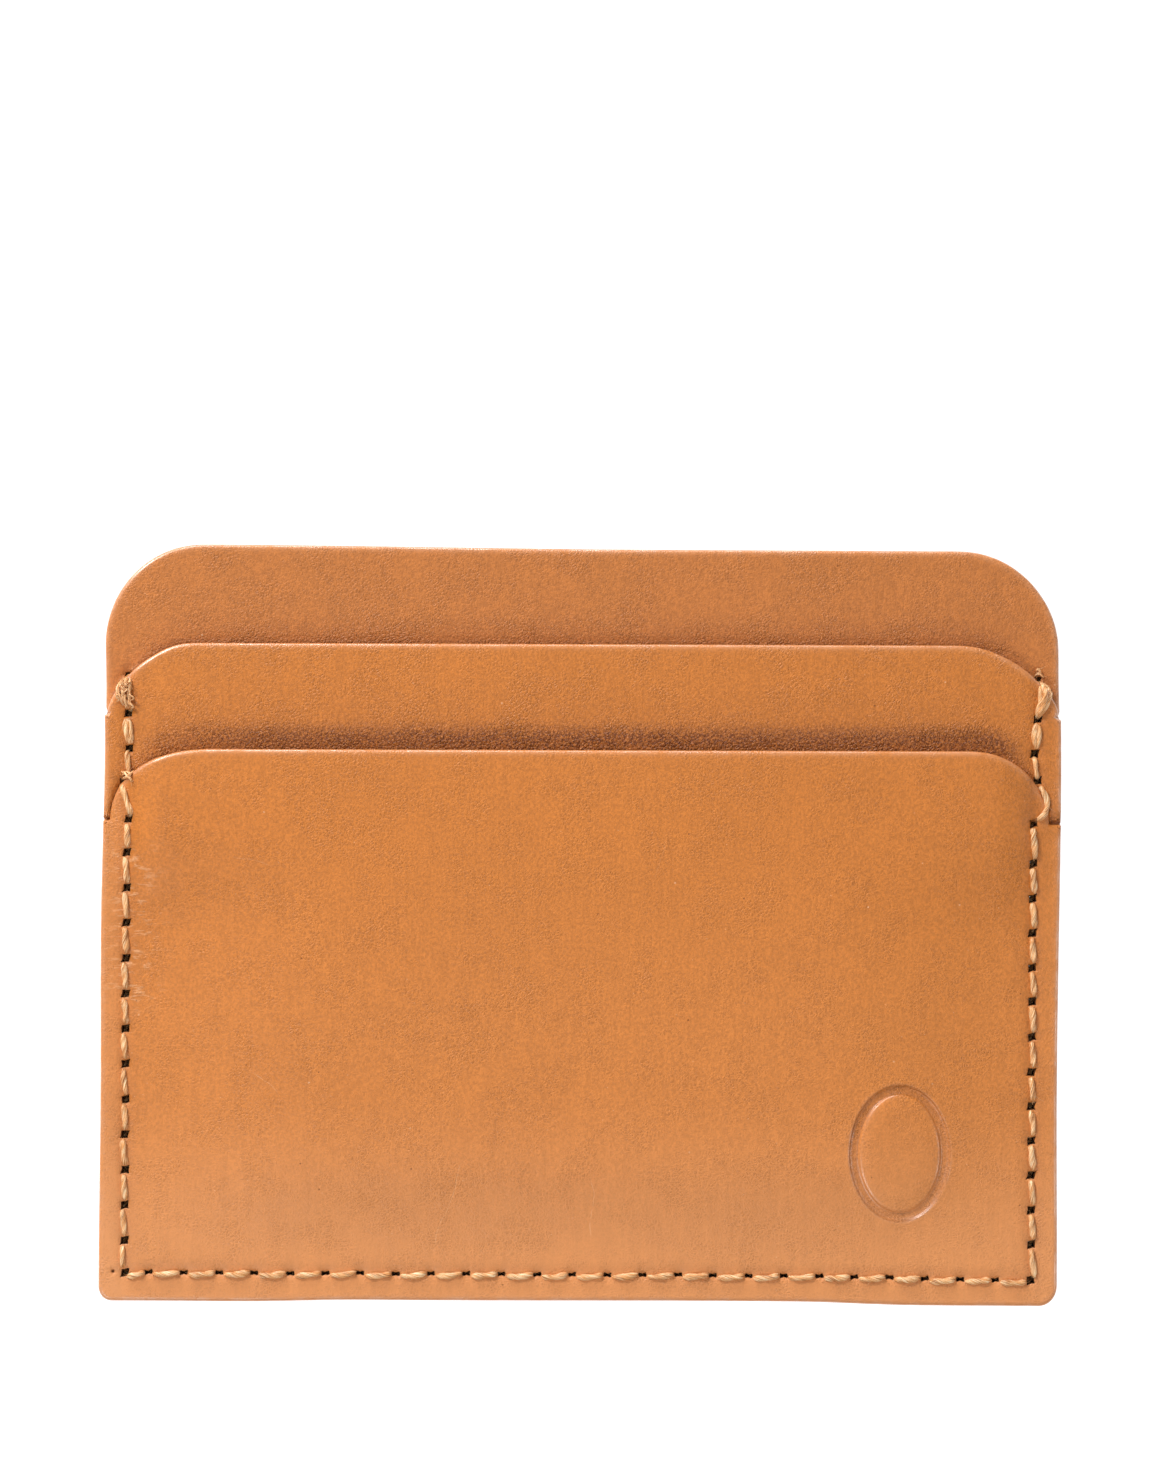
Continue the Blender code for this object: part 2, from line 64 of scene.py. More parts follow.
# %% Levels and edges from the frame
MM = 0.001
rear_low, rear_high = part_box("rear_panel")
centre_low, centre_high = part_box("centre_panel")
upper_low, upper_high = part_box("upper_pocket")
front_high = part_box("front_pocket")[1]

HALF = rear_high.x
BASE = rear_low.y
TOP = rear_high.y
UPPER_MOUTH = upper_high.y
FRONT_MOUTH = front_high.y
STEM_FOOT = upper_low.y
LAYER_GAP = centre_low.z - rear_high.z
POCKET_THICKNESS = upper_high.z - upper_low.z
FRONT_RISE = POCKET_THICKNESS + LAYER_GAP
print("half width %.1f mm, height %.1f mm" % (HALF / MM, (TOP - BASE) / MM))

# %% Sizes of the cut
TOP_CORNER = 10.4 * MM
TOP_INSET = 0.12 * MM
BASE_CORNER = {-1: 1.4 * MM, 1: 1.9 * MM}
UPPER = {
    "mouth": UPPER_MOUTH,
    "drop": 7.1 * MM,
    "run": {-1: 8.0 * MM, 1: 9.4 * MM},
    "full": {-1: 1.43, 1: 1.58},
    "lift": (0.17 * MM, 0.08 * MM),
    "step": {-1: 0.35 * MM, 1: 0.30 * MM},
}
FRONT = {
    "mouth": FRONT_MOUTH,
    "drop": 7.2 * MM,
    "run": {-1: 10.1 * MM, 1: 7.4 * MM},
    "full": {-1: 2.0, 1: 1.85},
    "lift": (0.30 * MM, 0.10 * MM),
    "step": {-1: 0.75 * MM, 1: 1.15 * MM},
}
TAB_TOP = UPPER_MOUTH - UPPER["drop"]
TAB_FOOT = FRONT_MOUTH - FRONT["drop"]
STEM_HALF = HALF - 7.0 * MM
SEAM_INSET = 2.7 * MM
EDGE_ROUND = 0.40 * MM

# %% [markdown]
# ## Camera, floor and light
#
# The holder lies flat on its back and is looked at from straight above. A long lens keeps its sides
# parallel. The camera stands a little towards the mouths, so that the holder sits low in the frame.

# %% Camera
FRAME_SHAPE = (1161, 1483)
HOLDER_SHARE = 0.8251507
SENSOR = 36.0
LENS = 150.0
CAMERA_UP = 19.15 * MM
CAMERA_ROLL = math.radians(0.30)

frame_width = 2 * HALF / HOLDER_SHARE
frame_height = frame_width * FRAME_SHAPE[1] / FRAME_SHAPE[0]
camera_data = bpy.data.cameras.new("camera")
camera_data.sensor_width = SENSOR
camera_data.lens = LENS
camera_data.clip_start = 0.01
camera = bpy.data.objects.new("camera", camera_data)
camera.location = (0.0, CAMERA_UP, upper_high.z + frame_height * LENS / SENSOR)
camera.rotation_euler = (0.0, 0.0, CAMERA_ROLL)
bpy.context.scene.collection.objects.link(camera)
bpy.context.scene.camera = camera
bpy.context.scene.view_settings.view_transform = "Standard"
print("camera stands %.0f mm up" % (camera.location.z / MM))

# %% [markdown]
# The floor is plain white. Seen from above it is lit to pure white; from below it lets the view through,
# so that the back of the holder can be looked at as well. It is a single large triangle, because a glowing
# floor of two triangles would leave a faint line of light where they meet. Backfacing stays in the
# material itself.

# %% Floor
def simple_mesh(name, points, faces):
    mesh = bpy.data.meshes.new(name)
    mesh.from_pydata([tuple(p) for p in points], [], [tuple(f) for f in faces])
    mesh.update()
    made = bpy.data.objects.new(name, mesh)
    bpy.context.scene.collection.objects.link(made)
    return made


def wire(tree, source, target):
    """Join two sockets, each given as (node, socket name or number)."""
    tree.links.new(source[0].outputs[source[1]], target[0].inputs[target[1]])


FLOOR_GAP = 0.02 * MM
FLOOR_CORNERS = [(-3.96, -2.2, 0.0), (3.96, -2.2, 0.0), (0.0, 4.62, 0.0)]
floor = simple_mesh("floor", FLOOR_CORNERS, [(0, 1, 2)])
floor.location.z = -FLOOR_GAP
floor_material = bpy.data.materials.new("white_floor")
floor_material.use_nodes = True
floor_tree = floor_material.node_tree
floor_shader = floor_tree.nodes["Principled BSDF"]
floor_shader.inputs["Base Color"].default_value = (0.25, 0.25, 0.25, 1.0)
floor_shader.inputs["Roughness"].default_value = 0.9
floor_shader.inputs["Emission Color"].default_value = (1.0, 1.0, 1.0, 1.0)
floor_shader.inputs["Emission Strength"].default_value = 1.0
see_through = floor_tree.nodes.new("ShaderNodeBsdfTransparent")
floor_side = floor_tree.nodes.new("ShaderNodeNewGeometry")
floor_mix = floor_tree.nodes.new("ShaderNodeMixShader")
wire(floor_tree, (floor_side, "Backfacing"), (floor_mix, 0))
wire(floor_tree, (floor_shader, 0), (floor_mix, 1))
wire(floor_tree, (see_through, 0), (floor_mix, 2))
wire(floor_tree, (floor_mix, 0), (floor_tree.nodes["Material Output"], 0))
floor.data.materials.append(floor_material)
print("floor is in place")

# %% [markdown]
# Soft lights from all sides. The key comes from the base's left at a middling height: each pocket's lip then
# throws a short soft shadow on the leather above it, and the base of the front pocket, which leans
# towards it, is the brightest part. A low strip beyond the mouths draws the pale line along each
# rounded edge, and a small bright lamp at the upper left draws the brighter lines on the left shoulders
# and on the walls of the stamp. The world fills the rest.

# %% Lights
LIGHTS = [
    # name, place, point it looks at, size, power
    ("key_light", (-0.26, -0.36, 0.50), (0, 0, 0), (0.36, 0.24), 1.75),
    ("side_light", (0.50, -0.10, 0.34), (0, 0, 0), (0.2, 0.3), 0.7),
    ("edge_light", (-0.22, 0.58, 0.11), (0, 0.02, 0), (0.55, 0.06), 2.6),
    ("top_light", (0.0, 0.05, 0.75), (0, 0, 0), (0.5, 0.5), 0.9),
    ("glint_light", (-0.34, 0.46, 0.36), (0, 0, 0), (0.14, 0.14), 3.0),
]
WORLD_POWER = 0.13
for name, place, aim, size, power in LIGHTS:
    data = bpy.data.lights.new(name, "AREA")
    data.shape = "RECTANGLE"
    data.size, data.size_y = size
    data.energy = power
    lamp = bpy.data.objects.new(name, data)
    lamp.location = place
    lamp.rotation_euler = (Vector(aim) - Vector(place)).to_track_quat("-Z", "Y").to_euler()
    bpy.context.scene.collection.objects.link(lamp)
world = bpy.data.worlds.new("studio")
bpy.context.scene.world = world
world.use_nodes = True
world.node_tree.nodes["Background"].inputs["Color"].default_value = (1.0, 1.0, 1.0, 1.0)
world.node_tree.nodes["Background"].inputs["Strength"].default_value = WORLD_POWER
print(len(LIGHTS), "lights are in place")

# %% [markdown]
# ## The shape of the leather
#
# A flat plate would look like plastic. On the real holder the layers are pressed together along the
# seam, so the gaps between them close there; the front pocket climbs over the pocket behind it and
# slopes down again towards the base; and each mouth stands a hair proud in its middle. These are all
# heights over the plane, so each is a small formula that takes whole arrays of points at once.

# %% Small formulas
def smooth(share):
    """0 to 1, eased at both ends."""
    share = np.clip(share, 0.0, 1.0)
    return share * share * (3.0 - 2.0 * share)


def hill(distance, width):
    """1 at no distance, falling away softly over the width."""
    return np.exp(-((distance / width) ** 2))


def lift(x, pocket):
    """The cutter's mouth line stands a little high, more so on the right."""
    return pocket["lift"][0] + pocket["lift"][1] * x / HALF


def pocket_edge(x, pocket):
    """How far towards +Y a pocket reaches at x."""
    edge = np.zeros_like(x)
    for side in (-1, 1):
        inward = (HALF - pocket["step"][side] - np.abs(x)) / pocket["run"][side]
        outward = 1.0 - np.clip(inward, 0.0, 1.0)
        full = pocket["full"][side]
        curve = (1.0 - outward ** full) ** (1.0 / full)
        edge = np.where(x * side >= 0.0, pocket["mouth"] - pocket["drop"] * (1.0 - curve), edge)
    return edge + lift(x, pocket)


# %% Heights of the layers
SIDE_FLAT = 2.2 * MM
SIDE_RAMP = 22 * MM
TAB_SIDE_FLAT = 0.6 * MM
TAB_SIDE_RAMP = 6 * MM
TAB_RAMP = 12 * MM
BASE_FLAT = 3.4 * MM
BASE_RAMP = 12 * MM
CORNER_SQUEEZE = 0.5
HAIRLINE = 0.012 * MM
PRESSED = LAYER_GAP / 2 - HAIRLINE
SEWN_WIDTH = 3.2 * MM
PUFF = 0.16 * MM
FRONT_PUFF = 1.9


def front_rise(x, y):
    """How far the front pocket stands above its own margins."""
    from_side = HALF - np.abs(x)
    over_stem = smooth((from_side - SIDE_FLAT) / SIDE_RAMP)
    over_tab = smooth((y - TAB_FOOT + TAB_RAMP) / TAB_RAMP)
    over_tab = over_tab * smooth((from_side - TAB_SIDE_FLAT) / TAB_SIDE_RAMP)
    over_base = smooth((y - BASE - BASE_FLAT) / BASE_RAMP)
    return FRONT_RISE * over_base * (1.0 - (1.0 - over_stem) * (1.0 - over_tab))


def front_thickness(x, y):
    """Full in the middle, squeezed thin where the shoulder is sewn down on the tab."""
    beside_seam = smooth((np.abs(x) - (HALF - 6 * MM)) / (3.5 * MM))
    corner = beside_seam * smooth((y - TAB_FOOT + 2 * MM) / (2 * MM))
    return POCKET_THICKNESS * (1.0 - CORNER_SQUEEZE * corner)


def pressed(x, y):
    """How far a layer swells to meet its neighbour, along the sewn edges."""
    from_edge = np.minimum(HALF - np.abs(x), y - BASE)
    sewn = 1.0 - smooth((y - (TAB_TOP + 3 * MM)) / (5 * MM))
    sides = 1.0 - smooth((from_edge - SEWN_WIDTH) / (3 * MM))
    return PRESSED * sides * np.where(y < BASE + 8 * MM, 1.0, sewn)


def puff(x, y, mouth):
    """The soft swell of a pocket's middle, strongest at its mouth."""
    across = np.clip(1.0 - (x / (HALF - 5 * MM)) ** 2, 0.0, 1.0)
    along = 0.35 + 0.65 * smooth((y - (mouth - 40 * MM)) / (38 * MM))
    return PUFF * across * along * smooth((y - BASE - 6 * MM) / (14 * MM))


# %% [markdown]
# ## The seam
#
# Sewing decides a good part of the shape, so the holes come before the panels. The seam runs down the
# left, along the base and up the right. Its pitch is even, apart from the top of each side, where the
# worker set the holes by eye so that the thread crosses each pocket's shoulder: those are listed.

# %% Where the needle went
STITCH_PITCH = 3.675 * MM
FIRST_UP = {-1: 2.75 * MM, 1: 2.45 * MM}
SECOND_UP = {-1: 6.1 * MM, 1: 6.1 * MM}
FIRST_ACROSS = 5.2 * MM
LAST_EVEN_UP = {-1: 46.6 * MM, 1: 45.9 * MM}
TOP_HOLES = {
    -1: [(47.1, 50.1), (47.75, 53.9), (47.1, 57.45), (47.2, 61.15), (47.35, 65.1)],
    1: [(47.35, 50.1), (47.7, 54.6), (47.4, 57.4), (47.7, 61.0), (47.75, 65.1)],
}


def side_holes(side):
    """Holes of one side from the base up, the corner hole included."""
    holes = [(side * (HALF - SEAM_INSET), BASE + FIRST_UP[side])]
    steps = round((LAST_EVEN_UP[side] - SECOND_UP[side]) / STITCH_PITCH)
    for step in range(steps + 1):
        share = step / steps
        up = SECOND_UP[side] + (LAST_EVEN_UP[side] - SECOND_UP[side]) * share
        holes.append((side * (HALF - SEAM_INSET), BASE + up))
    holes += [(side * x * MM, BASE + up * MM) for x, up in TOP_HOLES[side]]
    return holes


def base_holes():
    """Holes between the two corners; the first stitch is a short one."""
    first = -HALF + FIRST_ACROSS
    last = HALF - SEAM_INSET
    steps = round((last - first) / STITCH_PITCH)
    across = first + (last - first) * np.arange(steps) / steps
    up = FIRST_UP[-1] + (FIRST_UP[1] - FIRST_UP[-1]) * smooth((across - 18 * MM) / (28 * MM))
    return [(x, BASE + y) for x, y in zip(across, up)]


SEED = 7
HOLE_WANDER = 0.03 * MM
rng = np.random.default_rng(SEED)
holes = np.array(side_holes(-1)[::-1] + base_holes() + side_holes(1))
holes += rng.normal(0.0, HOLE_WANDER, holes.shape)
along = np.gradient(holes, axis=0)
along /= np.linalg.norm(along, axis=1)[:, None]
outer = np.stack([along[:, 1], -along[:, 0]], axis=1)
SLOT_REACH = 0.36 * MM
SLOT_SLANT = 0.21 * MM
ARRIVING_SLANT = 0.4
leaving = holes + along * SLOT_REACH + outer * SLOT_SLANT
arriving = holes - along * SLOT_REACH - outer * SLOT_SLANT * ARRIVING_SLANT
print(len(holes), "holes in the seam")

# %% [markdown]
# A stitch pulls the leather down around its holes and leaves it a little fuller between the stitches
# and the edge. `pull` is that shape, and the panels subtract it from their faces.

# %% How the thread pulls the leather
DIMPLE = 0.16 * MM
DIMPLE_WIDTH = 0.62 * MM
TROUGH = 0.10 * MM
TROUGH_WIDTH = 0.75 * MM


def nearest(points, targets):
    """Distance from each point to the nearest target."""
    tree = kdtree.KDTree(len(targets))
    for index, target in enumerate(targets):
        tree.insert((target[0], target[1], 0.0), index)
    tree.balance()
    return np.array([tree.find((x, y, 0.0))[2] for x, y in points])


def line_distance(points, start, end):
    """Distance from each point to one straight stitch."""
    run = end - start
    share = np.clip(((points - start) @ run) / (run @ run), 0.0, 1.0)
    return np.linalg.norm(points - start - share[:, None] * run, axis=1)


def seam_distance(points):
    """Distance from each point to the line of the seam."""
    found = np.full(len(points), 1.0)
    for start, end in zip(holes[:-1], holes[1:]):
        near = np.abs(points - (start + end) / 2).max(axis=1) < 8 * MM
        if near.any():
            found[near] = np.minimum(found[near], line_distance(points[near], start, end))
    return found


def pull(points):
    """How far the sewing sinks the leather at each point."""
    dimples = DIMPLE * hill(nearest(points, holes), DIMPLE_WIDTH)
    return dimples + TROUGH * hill(seam_distance(points), TROUGH_WIDTH)


print("deepest pull %.2f mm" % (pull(holes).max() / MM))

# %% [markdown]
# ## Outlines
#
# Each outline is drawn as the pattern cutter would: straight runs, arcs, and the two shoulder curves.
# Sharp inner and outer corners are softened, then the outline is divided evenly so that the rounded
# edge can be built on it.

# %% Drawing outlines
def arc(centre, radius, start, end, steps=18):
    angles = np.radians(np.linspace(start, end, steps))
    return [(centre[0] + radius * math.cos(a), centre[1] + radius * math.sin(a)) for a in angles]


EASING = 1.6 * MM


def shoulder(side, pocket, steps=70):
    """A shoulder from its foot beside the tab up to the mouth, eased where it meets the straight lip."""
    foot = HALF - pocket["step"][side]
    power = 2.0 / pocket["full"][side]
    angles = np.linspace(0.0, math.pi / 2, steps)
    across = foot - pocket["run"][side] * (1.0 - np.abs(np.cos(angles)) ** power)
    up = pocket["mouth"] - pocket["drop"] * (1.0 - np.sin(angles) ** power)
    end = foot - pocket["run"][side]
    lip = np.linspace(end - 0.25 * MM, end - 2 * EASING, 12)
    across = np.concatenate([across, lip])
    up = np.concatenate([up, np.full(len(lip), pocket["mouth"])])
    order = np.argsort(across)
    eased = np.zeros(len(up))
    for shift in np.linspace(-1, 1, 9):
        eased += np.interp(across + shift * EASING, across[order], up[order]) / 9
    share = smooth((end + 3.5 * EASING - across) / (2 * EASING))
    up = up * (1 - share) + eased * share + lift(side * across, pocket)
    return [(side * x, y) for x, y in zip(across, up)]


def both_sides(half_of):
    """A whole outline, clockwise from the left foot, from a function that draws one side from the foot up."""
    return np.array(half_of(-1) + half_of(1)[::-1])


def base_corner(side):
    radius = BASE_CORNER[side]
    centre = (HALF - radius, BASE + radius)
    return [(side * x, y) for x, y in arc(centre, radius, 270, 360)]


def body_side(side):
    corner = (HALF - TOP_INSET - TOP_CORNER, TOP - TOP_CORNER)
    top = [(side * x, y) for x, y in arc(corner, TOP_CORNER, 0, 90, 40)]
    lean = [(side * HALF, TAB_TOP - 3 * MM), (side * (HALF - TOP_INSET), TAB_TOP + 3 * MM)]
    return base_corner(side) + lean + top


def upper_side(side):
    foot = HALF - UPPER["step"][side]
    return [
        (side * STEM_HALF, STEM_FOOT),
        (side * STEM_HALF, TAB_FOOT + 0.5 * MM),
        (side * HALF, TAB_FOOT + 0.06 * MM),
        (side * HALF, TAB_TOP - 0.45 * MM),
        (side * foot, TAB_TOP - 0.05 * MM),
    ] + shoulder(side, UPPER)[1:]


def front_side(side):
    foot = HALF - FRONT["step"][side]
    return base_corner(side) + [
        (side * HALF, TAB_FOOT - 0.06 * MM),
        (side * foot, TAB_FOOT - 0.01 * MM),
    ] + shoulder(side, FRONT)[1:]


# %% Softening corners and dividing evenly
SHARP_TURN = math.radians(20)
CORNER_SOFTNESS = 0.16 * MM
SOFT_STEPS = 5
SHORTEST = 0.004 * MM
OUTLINE_STEP = 0.45 * MM


def softened(outline):
    """Each sharp corner becomes a short curve."""
    made = []
    count = len(outline)
    for index in range(count):
        before, here, after = outline[index - 1], outline[index], outline[(index + 1) % count]
        into, out = here - before, after - here
        into_length, out_length = np.linalg.norm(into), np.linalg.norm(out)
        turn = math.acos(np.clip(into @ out / (into_length * out_length), -1, 1))
        if turn < SHARP_TURN:
            made.append(here)
            continue
        reach = min(CORNER_SOFTNESS * math.tan(turn / 2), 0.45 * into_length, 0.45 * out_length)
        start = here - into / into_length * reach
        end = here + out / out_length * reach
        for share in np.linspace(0, 1, SOFT_STEPS):
            made.append((1 - share) ** 2 * start + 2 * share * (1 - share) * here + share ** 2 * end)
    return np.array(made)


def divided(outline, step):
    """Long runs cut into equal steps, and points that nearly coincide dropped."""
    made = []
    for index in range(len(outline)):
        start, end = outline[index], outline[(index + 1) % len(outline)]
        length = np.linalg.norm(end - start)
        if length < SHORTEST:
            continue
        parts = max(1, math.ceil(length / step))
        made += [start + (end - start) * part / parts for part in range(parts)]
    return np.array(made)


def anticlockwise(loop):
    x, y = loop[:, 0], loop[:, 1]
    area = np.sum(x * np.roll(y, -1) - np.roll(x, -1) * y)
    return loop if area > 0 else loop[::-1]


def inward_normals(loop):
    """Unit vectors pointing left of the direction of travel, into an anticlockwise loop."""
    forward = np.roll(loop, -1, axis=0) - loop
    forward /= np.linalg.norm(forward, axis=1)[:, None]
    mean = forward + np.roll(forward, 1, axis=0)
    mean /= np.linalg.norm(mean, axis=1)[:, None]
    return np.stack([-mean[:, 1], mean[:, 0]], axis=1)


# %% [markdown]
# ## Building a panel
#
# A panel is a plate with rounded, burnished edges and real slots. Three ways were possible: a bevelled
# extrusion, which can't dip round each stitch; a displaced grid, whose edge would be jagged; or a
# triangulated face between exact rings. The last one is used. Rings step round the quarter turn of the
# edge, more rings line every slot, and between them the face is filled with points that are packed
# closely near the seam, the stamp and the mouths, and loosely elsewhere.

# %% Filling a face with points
def inside(points, loop):
    """Even-odd test of many points against one loop."""
    crossings = np.zeros(len(points), bool)
    for a, b in zip(loop, np.roll(loop, -1, axis=0)):
        spans = (a[1] > points[:, 1]) != (b[1] > points[:, 1])
        if not spans.any():
            continue
        cut = a[0] + (points[:, 1] - a[1]) * (b[0] - a[0]) / (b[1] - a[1] + 1e-15)
        crossings ^= spans & (points[:, 0] < cut)
    return crossings


ROW_SPACING = 0.866
CLEARANCE_SHARE = 0.45
STEPS = (1.3 * MM, 0.65 * MM, 0.33 * MM)


def hex_grid(low, high, step):
    rows = np.arange(low[1], high[1], step * ROW_SPACING)
    columns = np.arange(low[0], high[0], step)
    points = [np.stack([columns + (row % 2) * step / 2, np.full(len(columns), y)], axis=1)
              for row, y in enumerate(rows)]
    return np.concatenate(points)


def fill_points(loop, slots, fineness):
    """Points inside the loop and clear of the slots; fineness(points) is the step wanted at each."""
    low, high = loop.min(axis=0), loop.max(axis=0)
    rims = np.concatenate([loop] + slots)
    kept = []
    for level, step in enumerate(STEPS):
        points = hex_grid(low, high, step)
        wanted = fineness(points)
        coarser = STEPS[level - 1] if level else 1.0
        mine = (wanted >= step - 1e-9) & (wanted < coarser - 1e-9)
        points = points[mine]
        points = points[inside(points, loop)]
        points = points[nearest(points, rims) > CLEARANCE_SHARE * min(step, 0.5 * MM)]
        for slot in slots:
            near = np.abs(points - slot.mean(axis=0)).max(axis=1) < 1.2 * MM
            blocked = np.zeros(len(points), bool)
            blocked[near] = inside(points[near], slot)
            points = points[~blocked]
        kept.append(points)
    return np.concatenate(kept)


print("face steps", [round(step / MM, 2) for step in STEPS], "mm")

# %% Slots
SLOT_LENGTH = 1.30 * MM
SLOT_WIDTH = 1.00 * MM
BASE_SLOT_LENGTH = 0.80 * MM
BASE_SLOT_WIDTH = 0.62 * MM
SLOT_SIDES = 20
SLOT_LIP = 0.06 * MM
SLOT_TEAR = 0.07
STAR_POINT = 2.3
BOW_END = 0.7
BLADE_ON_SIDES = 47
BLADE_ON_BASE = 3
BLADE_WANDER = 4
slot_tears = rng.normal(1.0, SLOT_TEAR, (len(holes), SLOT_SIDES))
on_sides = np.abs(along[:, 1]) > 0.6
blade = np.where(on_sides, BLADE_ON_SIDES, BLADE_ON_BASE) + rng.normal(0, BLADE_WANDER, len(holes))
blade = np.radians(blade)


def drawn_in(values, power):
    """Values from -1 to 1 raised to a power with their signs kept."""
    return np.sign(values) * np.abs(values) ** power


def slot_loop(index, grow=0.0, size=1.0):
    """A slot's outline, anticlockwise: a four-pointed cut on the sides, a bow-shaped one on the base."""
    long_way = np.array([math.cos(blade[index]), math.sin(blade[index])])
    wide_way = np.array([-long_way[1], long_way[0]])
    angles = np.linspace(0, 2 * math.pi, SLOT_SIDES, endpoint=False)
    across, up = np.cos(angles), np.sin(angles)
    scale = (size + 2.4 * grow / SLOT_LENGTH) * slot_tears[index]
    if on_sides[index]:
        reach = SLOT_LENGTH / 2 * drawn_in(across, STAR_POINT) * scale
        width = SLOT_WIDTH / 2 * drawn_in(up, STAR_POINT) * scale
    else:
        flare = 0.42 + 0.72 * np.abs(across)
        reach = BASE_SLOT_LENGTH / 2 * drawn_in(across, BOW_END) * scale
        width = BASE_SLOT_WIDTH / 2 * drawn_in(up, BOW_END) * flare * scale
    return holes[index] + reach[:, None] * long_way + width[:, None] * wide_way


def slots_within(loop, size):
    """The slots that lie well inside a loop."""
    found = []
    for index in range(len(holes)):
        rim = slot_loop(index, SLOT_LIP, size)
        if inside(rim, loop).all() and nearest(rim, loop).min() > 0.10 * MM:
            found.append(index)
    return found


# %% The warp of hand cutting
NICK_UP = TAB_TOP - 0.15 * MM
NICK_DEPTH = 0.52 * MM
TOP_SAG = 0.30 * MM
TOP_RISE = 0.31 * MM
TAB_BULGE = 0.27 * MM
BASE_DROOP = 0.28 * MM


def hand_cut(points):
    """Small departures from the drawn outline: a sagging top edge, leaning sides, and the two nicks."""
    moved = points.copy()
    x, y = points[:, 0], points[:, 1]
    near_top = smooth((y - (TOP - 9 * MM)) / (9 * MM))
    moved[:, 1] += near_top * (TOP_RISE - TOP_SAG * smooth((x + 38 * MM) / (45 * MM)))
    from_side = HALF - np.abs(x)
    rim = hill(from_side, 1.5 * MM)
    moved[:, 0] += rim * 0.05 * MM * np.sin(y / (6.1 * MM) + 1.3) * np.sign(x)
    moved[:, 0] += rim * TAB_BULGE * hill(y - TAB_TOP + 5 * MM, 13 * MM)
    base_rim = hill(y - BASE, 1.5 * MM)
    moved[:, 1] += base_rim * 0.04 * MM * np.sin(x / (9.3 * MM))
    moved[:, 1] -= base_rim * BASE_DROOP * smooth((np.abs(x) - 22 * MM) / (14 * MM))
    nick = hill(y - NICK_UP, 0.14 * MM) * hill(np.maximum(from_side, 0), 0.5 * MM)
    moved[:, 0] -= np.sign(x) * NICK_DEPTH * nick
    return moved


# %% A face between its rim and its slots
EDGE_ANGLES = np.radians([0, 18, 36, 54, 72, 90])
BESIDE_EDGE = (0.18 * MM, 0.45 * MM)
THICKNESS_SHARE = 0.47
RIM_CLEARANCE = 0.2 * MM
RING_CLEARANCE = 0.24 * MM
INSIDE_WITH_HOLES = 2
MERGE_WITHIN = 1e-7


def rings_beside(outer_loop, normals, face_loop, rims):
    """Rings of points just inside the rim, which keep its last slope even."""
    rings = []
    for step in BESIDE_EDGE:
        ring = outer_loop + normals * (EDGE_ROUND + step)
        ring = ring[inside(ring, face_loop)]
        ring = ring[nearest(ring, face_loop) > 0.7 * step]
        if rims:
            ring = ring[nearest(ring, np.concatenate(rims)) > RIM_CLEARANCE]
        rings.append(ring)
    return rings


def triangulated(face_loop, rims, extra_rings, fineness):
    """The face's points, its triangles, and where each point of the rim and the slots went."""
    field = fill_points(face_loop, rims, fineness)
    field = field[nearest(field, np.concatenate(extra_rings)) > RING_CLEARANCE]
    flat = np.concatenate([face_loop] + rims + extra_rings + [field])
    edges, start = [], 0
    for loop in [face_loop] + rims:
        count = len(loop)
        edges += [(start + i, start + (i + 1) % count) for i in range(count)]
        start += count
    spots = [Vector(p) for p in flat]
    cut = geometry.delaunay_2d_cdt(spots, edges, [], INSIDE_WITH_HOLES, MERGE_WITHIN)
    face_points = np.array([(v.x, v.y) for v in cut[0]])
    place = {origin: new for new, origins in enumerate(cut[3]) for origin in origins}
    rim_of = {}
    first = len(face_loop)
    for number, rim in enumerate(rims):
        for i in range(first, first + len(rim)):
            rim_of[place[i]] = number
        first += len(rim)
    triangles = []
    for face in cut[2]:
        rim_numbers = {rim_of.get(corner) for corner in face}
        if len(rim_numbers) == 1 and None not in rim_numbers:
            middle = face_points[list(face)].mean(axis=0)
            if inside(middle[None, :], rims[rim_numbers.pop()])[0]:
                continue
        triangles.append(face)
    return face_points, triangles, place


# %% Rings of points joined into walls
class Shell:
    """The points and faces of one panel, added ring by ring."""

    def __init__(self):
        self.points = []
        self.heights = []
        self.edge = []
        self.faces = []
        self.total = 0

    def add(self, points, heights, burnish_and_highlight):
        """Add points with their heights and how pale their rim is, partly burnish and partly a painted
        highlight; the result is their numbers.
        """
        self.points.append(points)
        self.heights.append(heights)
        self.edge.append(np.full(len(points), burnish_and_highlight))
        self.total += len(points)
        return list(range(self.total - len(points), self.total))

    def join(self, first, second):
        for i in range(len(first)):
            j = (i + 1) % len(first)
            self.faces.append((first[i], first[j], second[j], second[i]))


def add_edge(shell, outer_loop, normals, high, low, above, below):
    """The rounded edge, from the upper face's rim over the quarter turns to the lower face's rim."""
    turns = [(angle, True) for angle in EDGE_ANGLES[-2::-1]]
    turns += [(angle, False) for angle in EDGE_ANGLES[:-1]]
    previous = above
    for angle, upper in turns:
        ring = outer_loop + normals * EDGE_ROUND * (1 - math.cos(angle))
        rounding = np.minimum(EDGE_ROUND, THICKNESS_SHARE * (high(ring) - low(ring)))
        drop = rounding * (1 - math.sin(angle))
        current = shell.add(ring, high(ring) - drop if upper else low(ring) + drop, 1.0)
        shell.join(current, previous)
        previous = current
    shell.join(below, previous)


def add_slot(shell, hole, high, low, above, below):
    """The wall of one slot; the result is the numbers of its points, which the finish paints dark as shade.
    """
    upper_ring = shell.add(hole, high(hole) - SLOT_LIP, 0.0)
    lower_ring = shell.add(hole, low(hole) + SLOT_LIP, 0.0)
    shell.join(above, upper_ring)
    shell.join(upper_ring, lower_ring)
    shell.join(lower_ring, below)
    return upper_ring + lower_ring


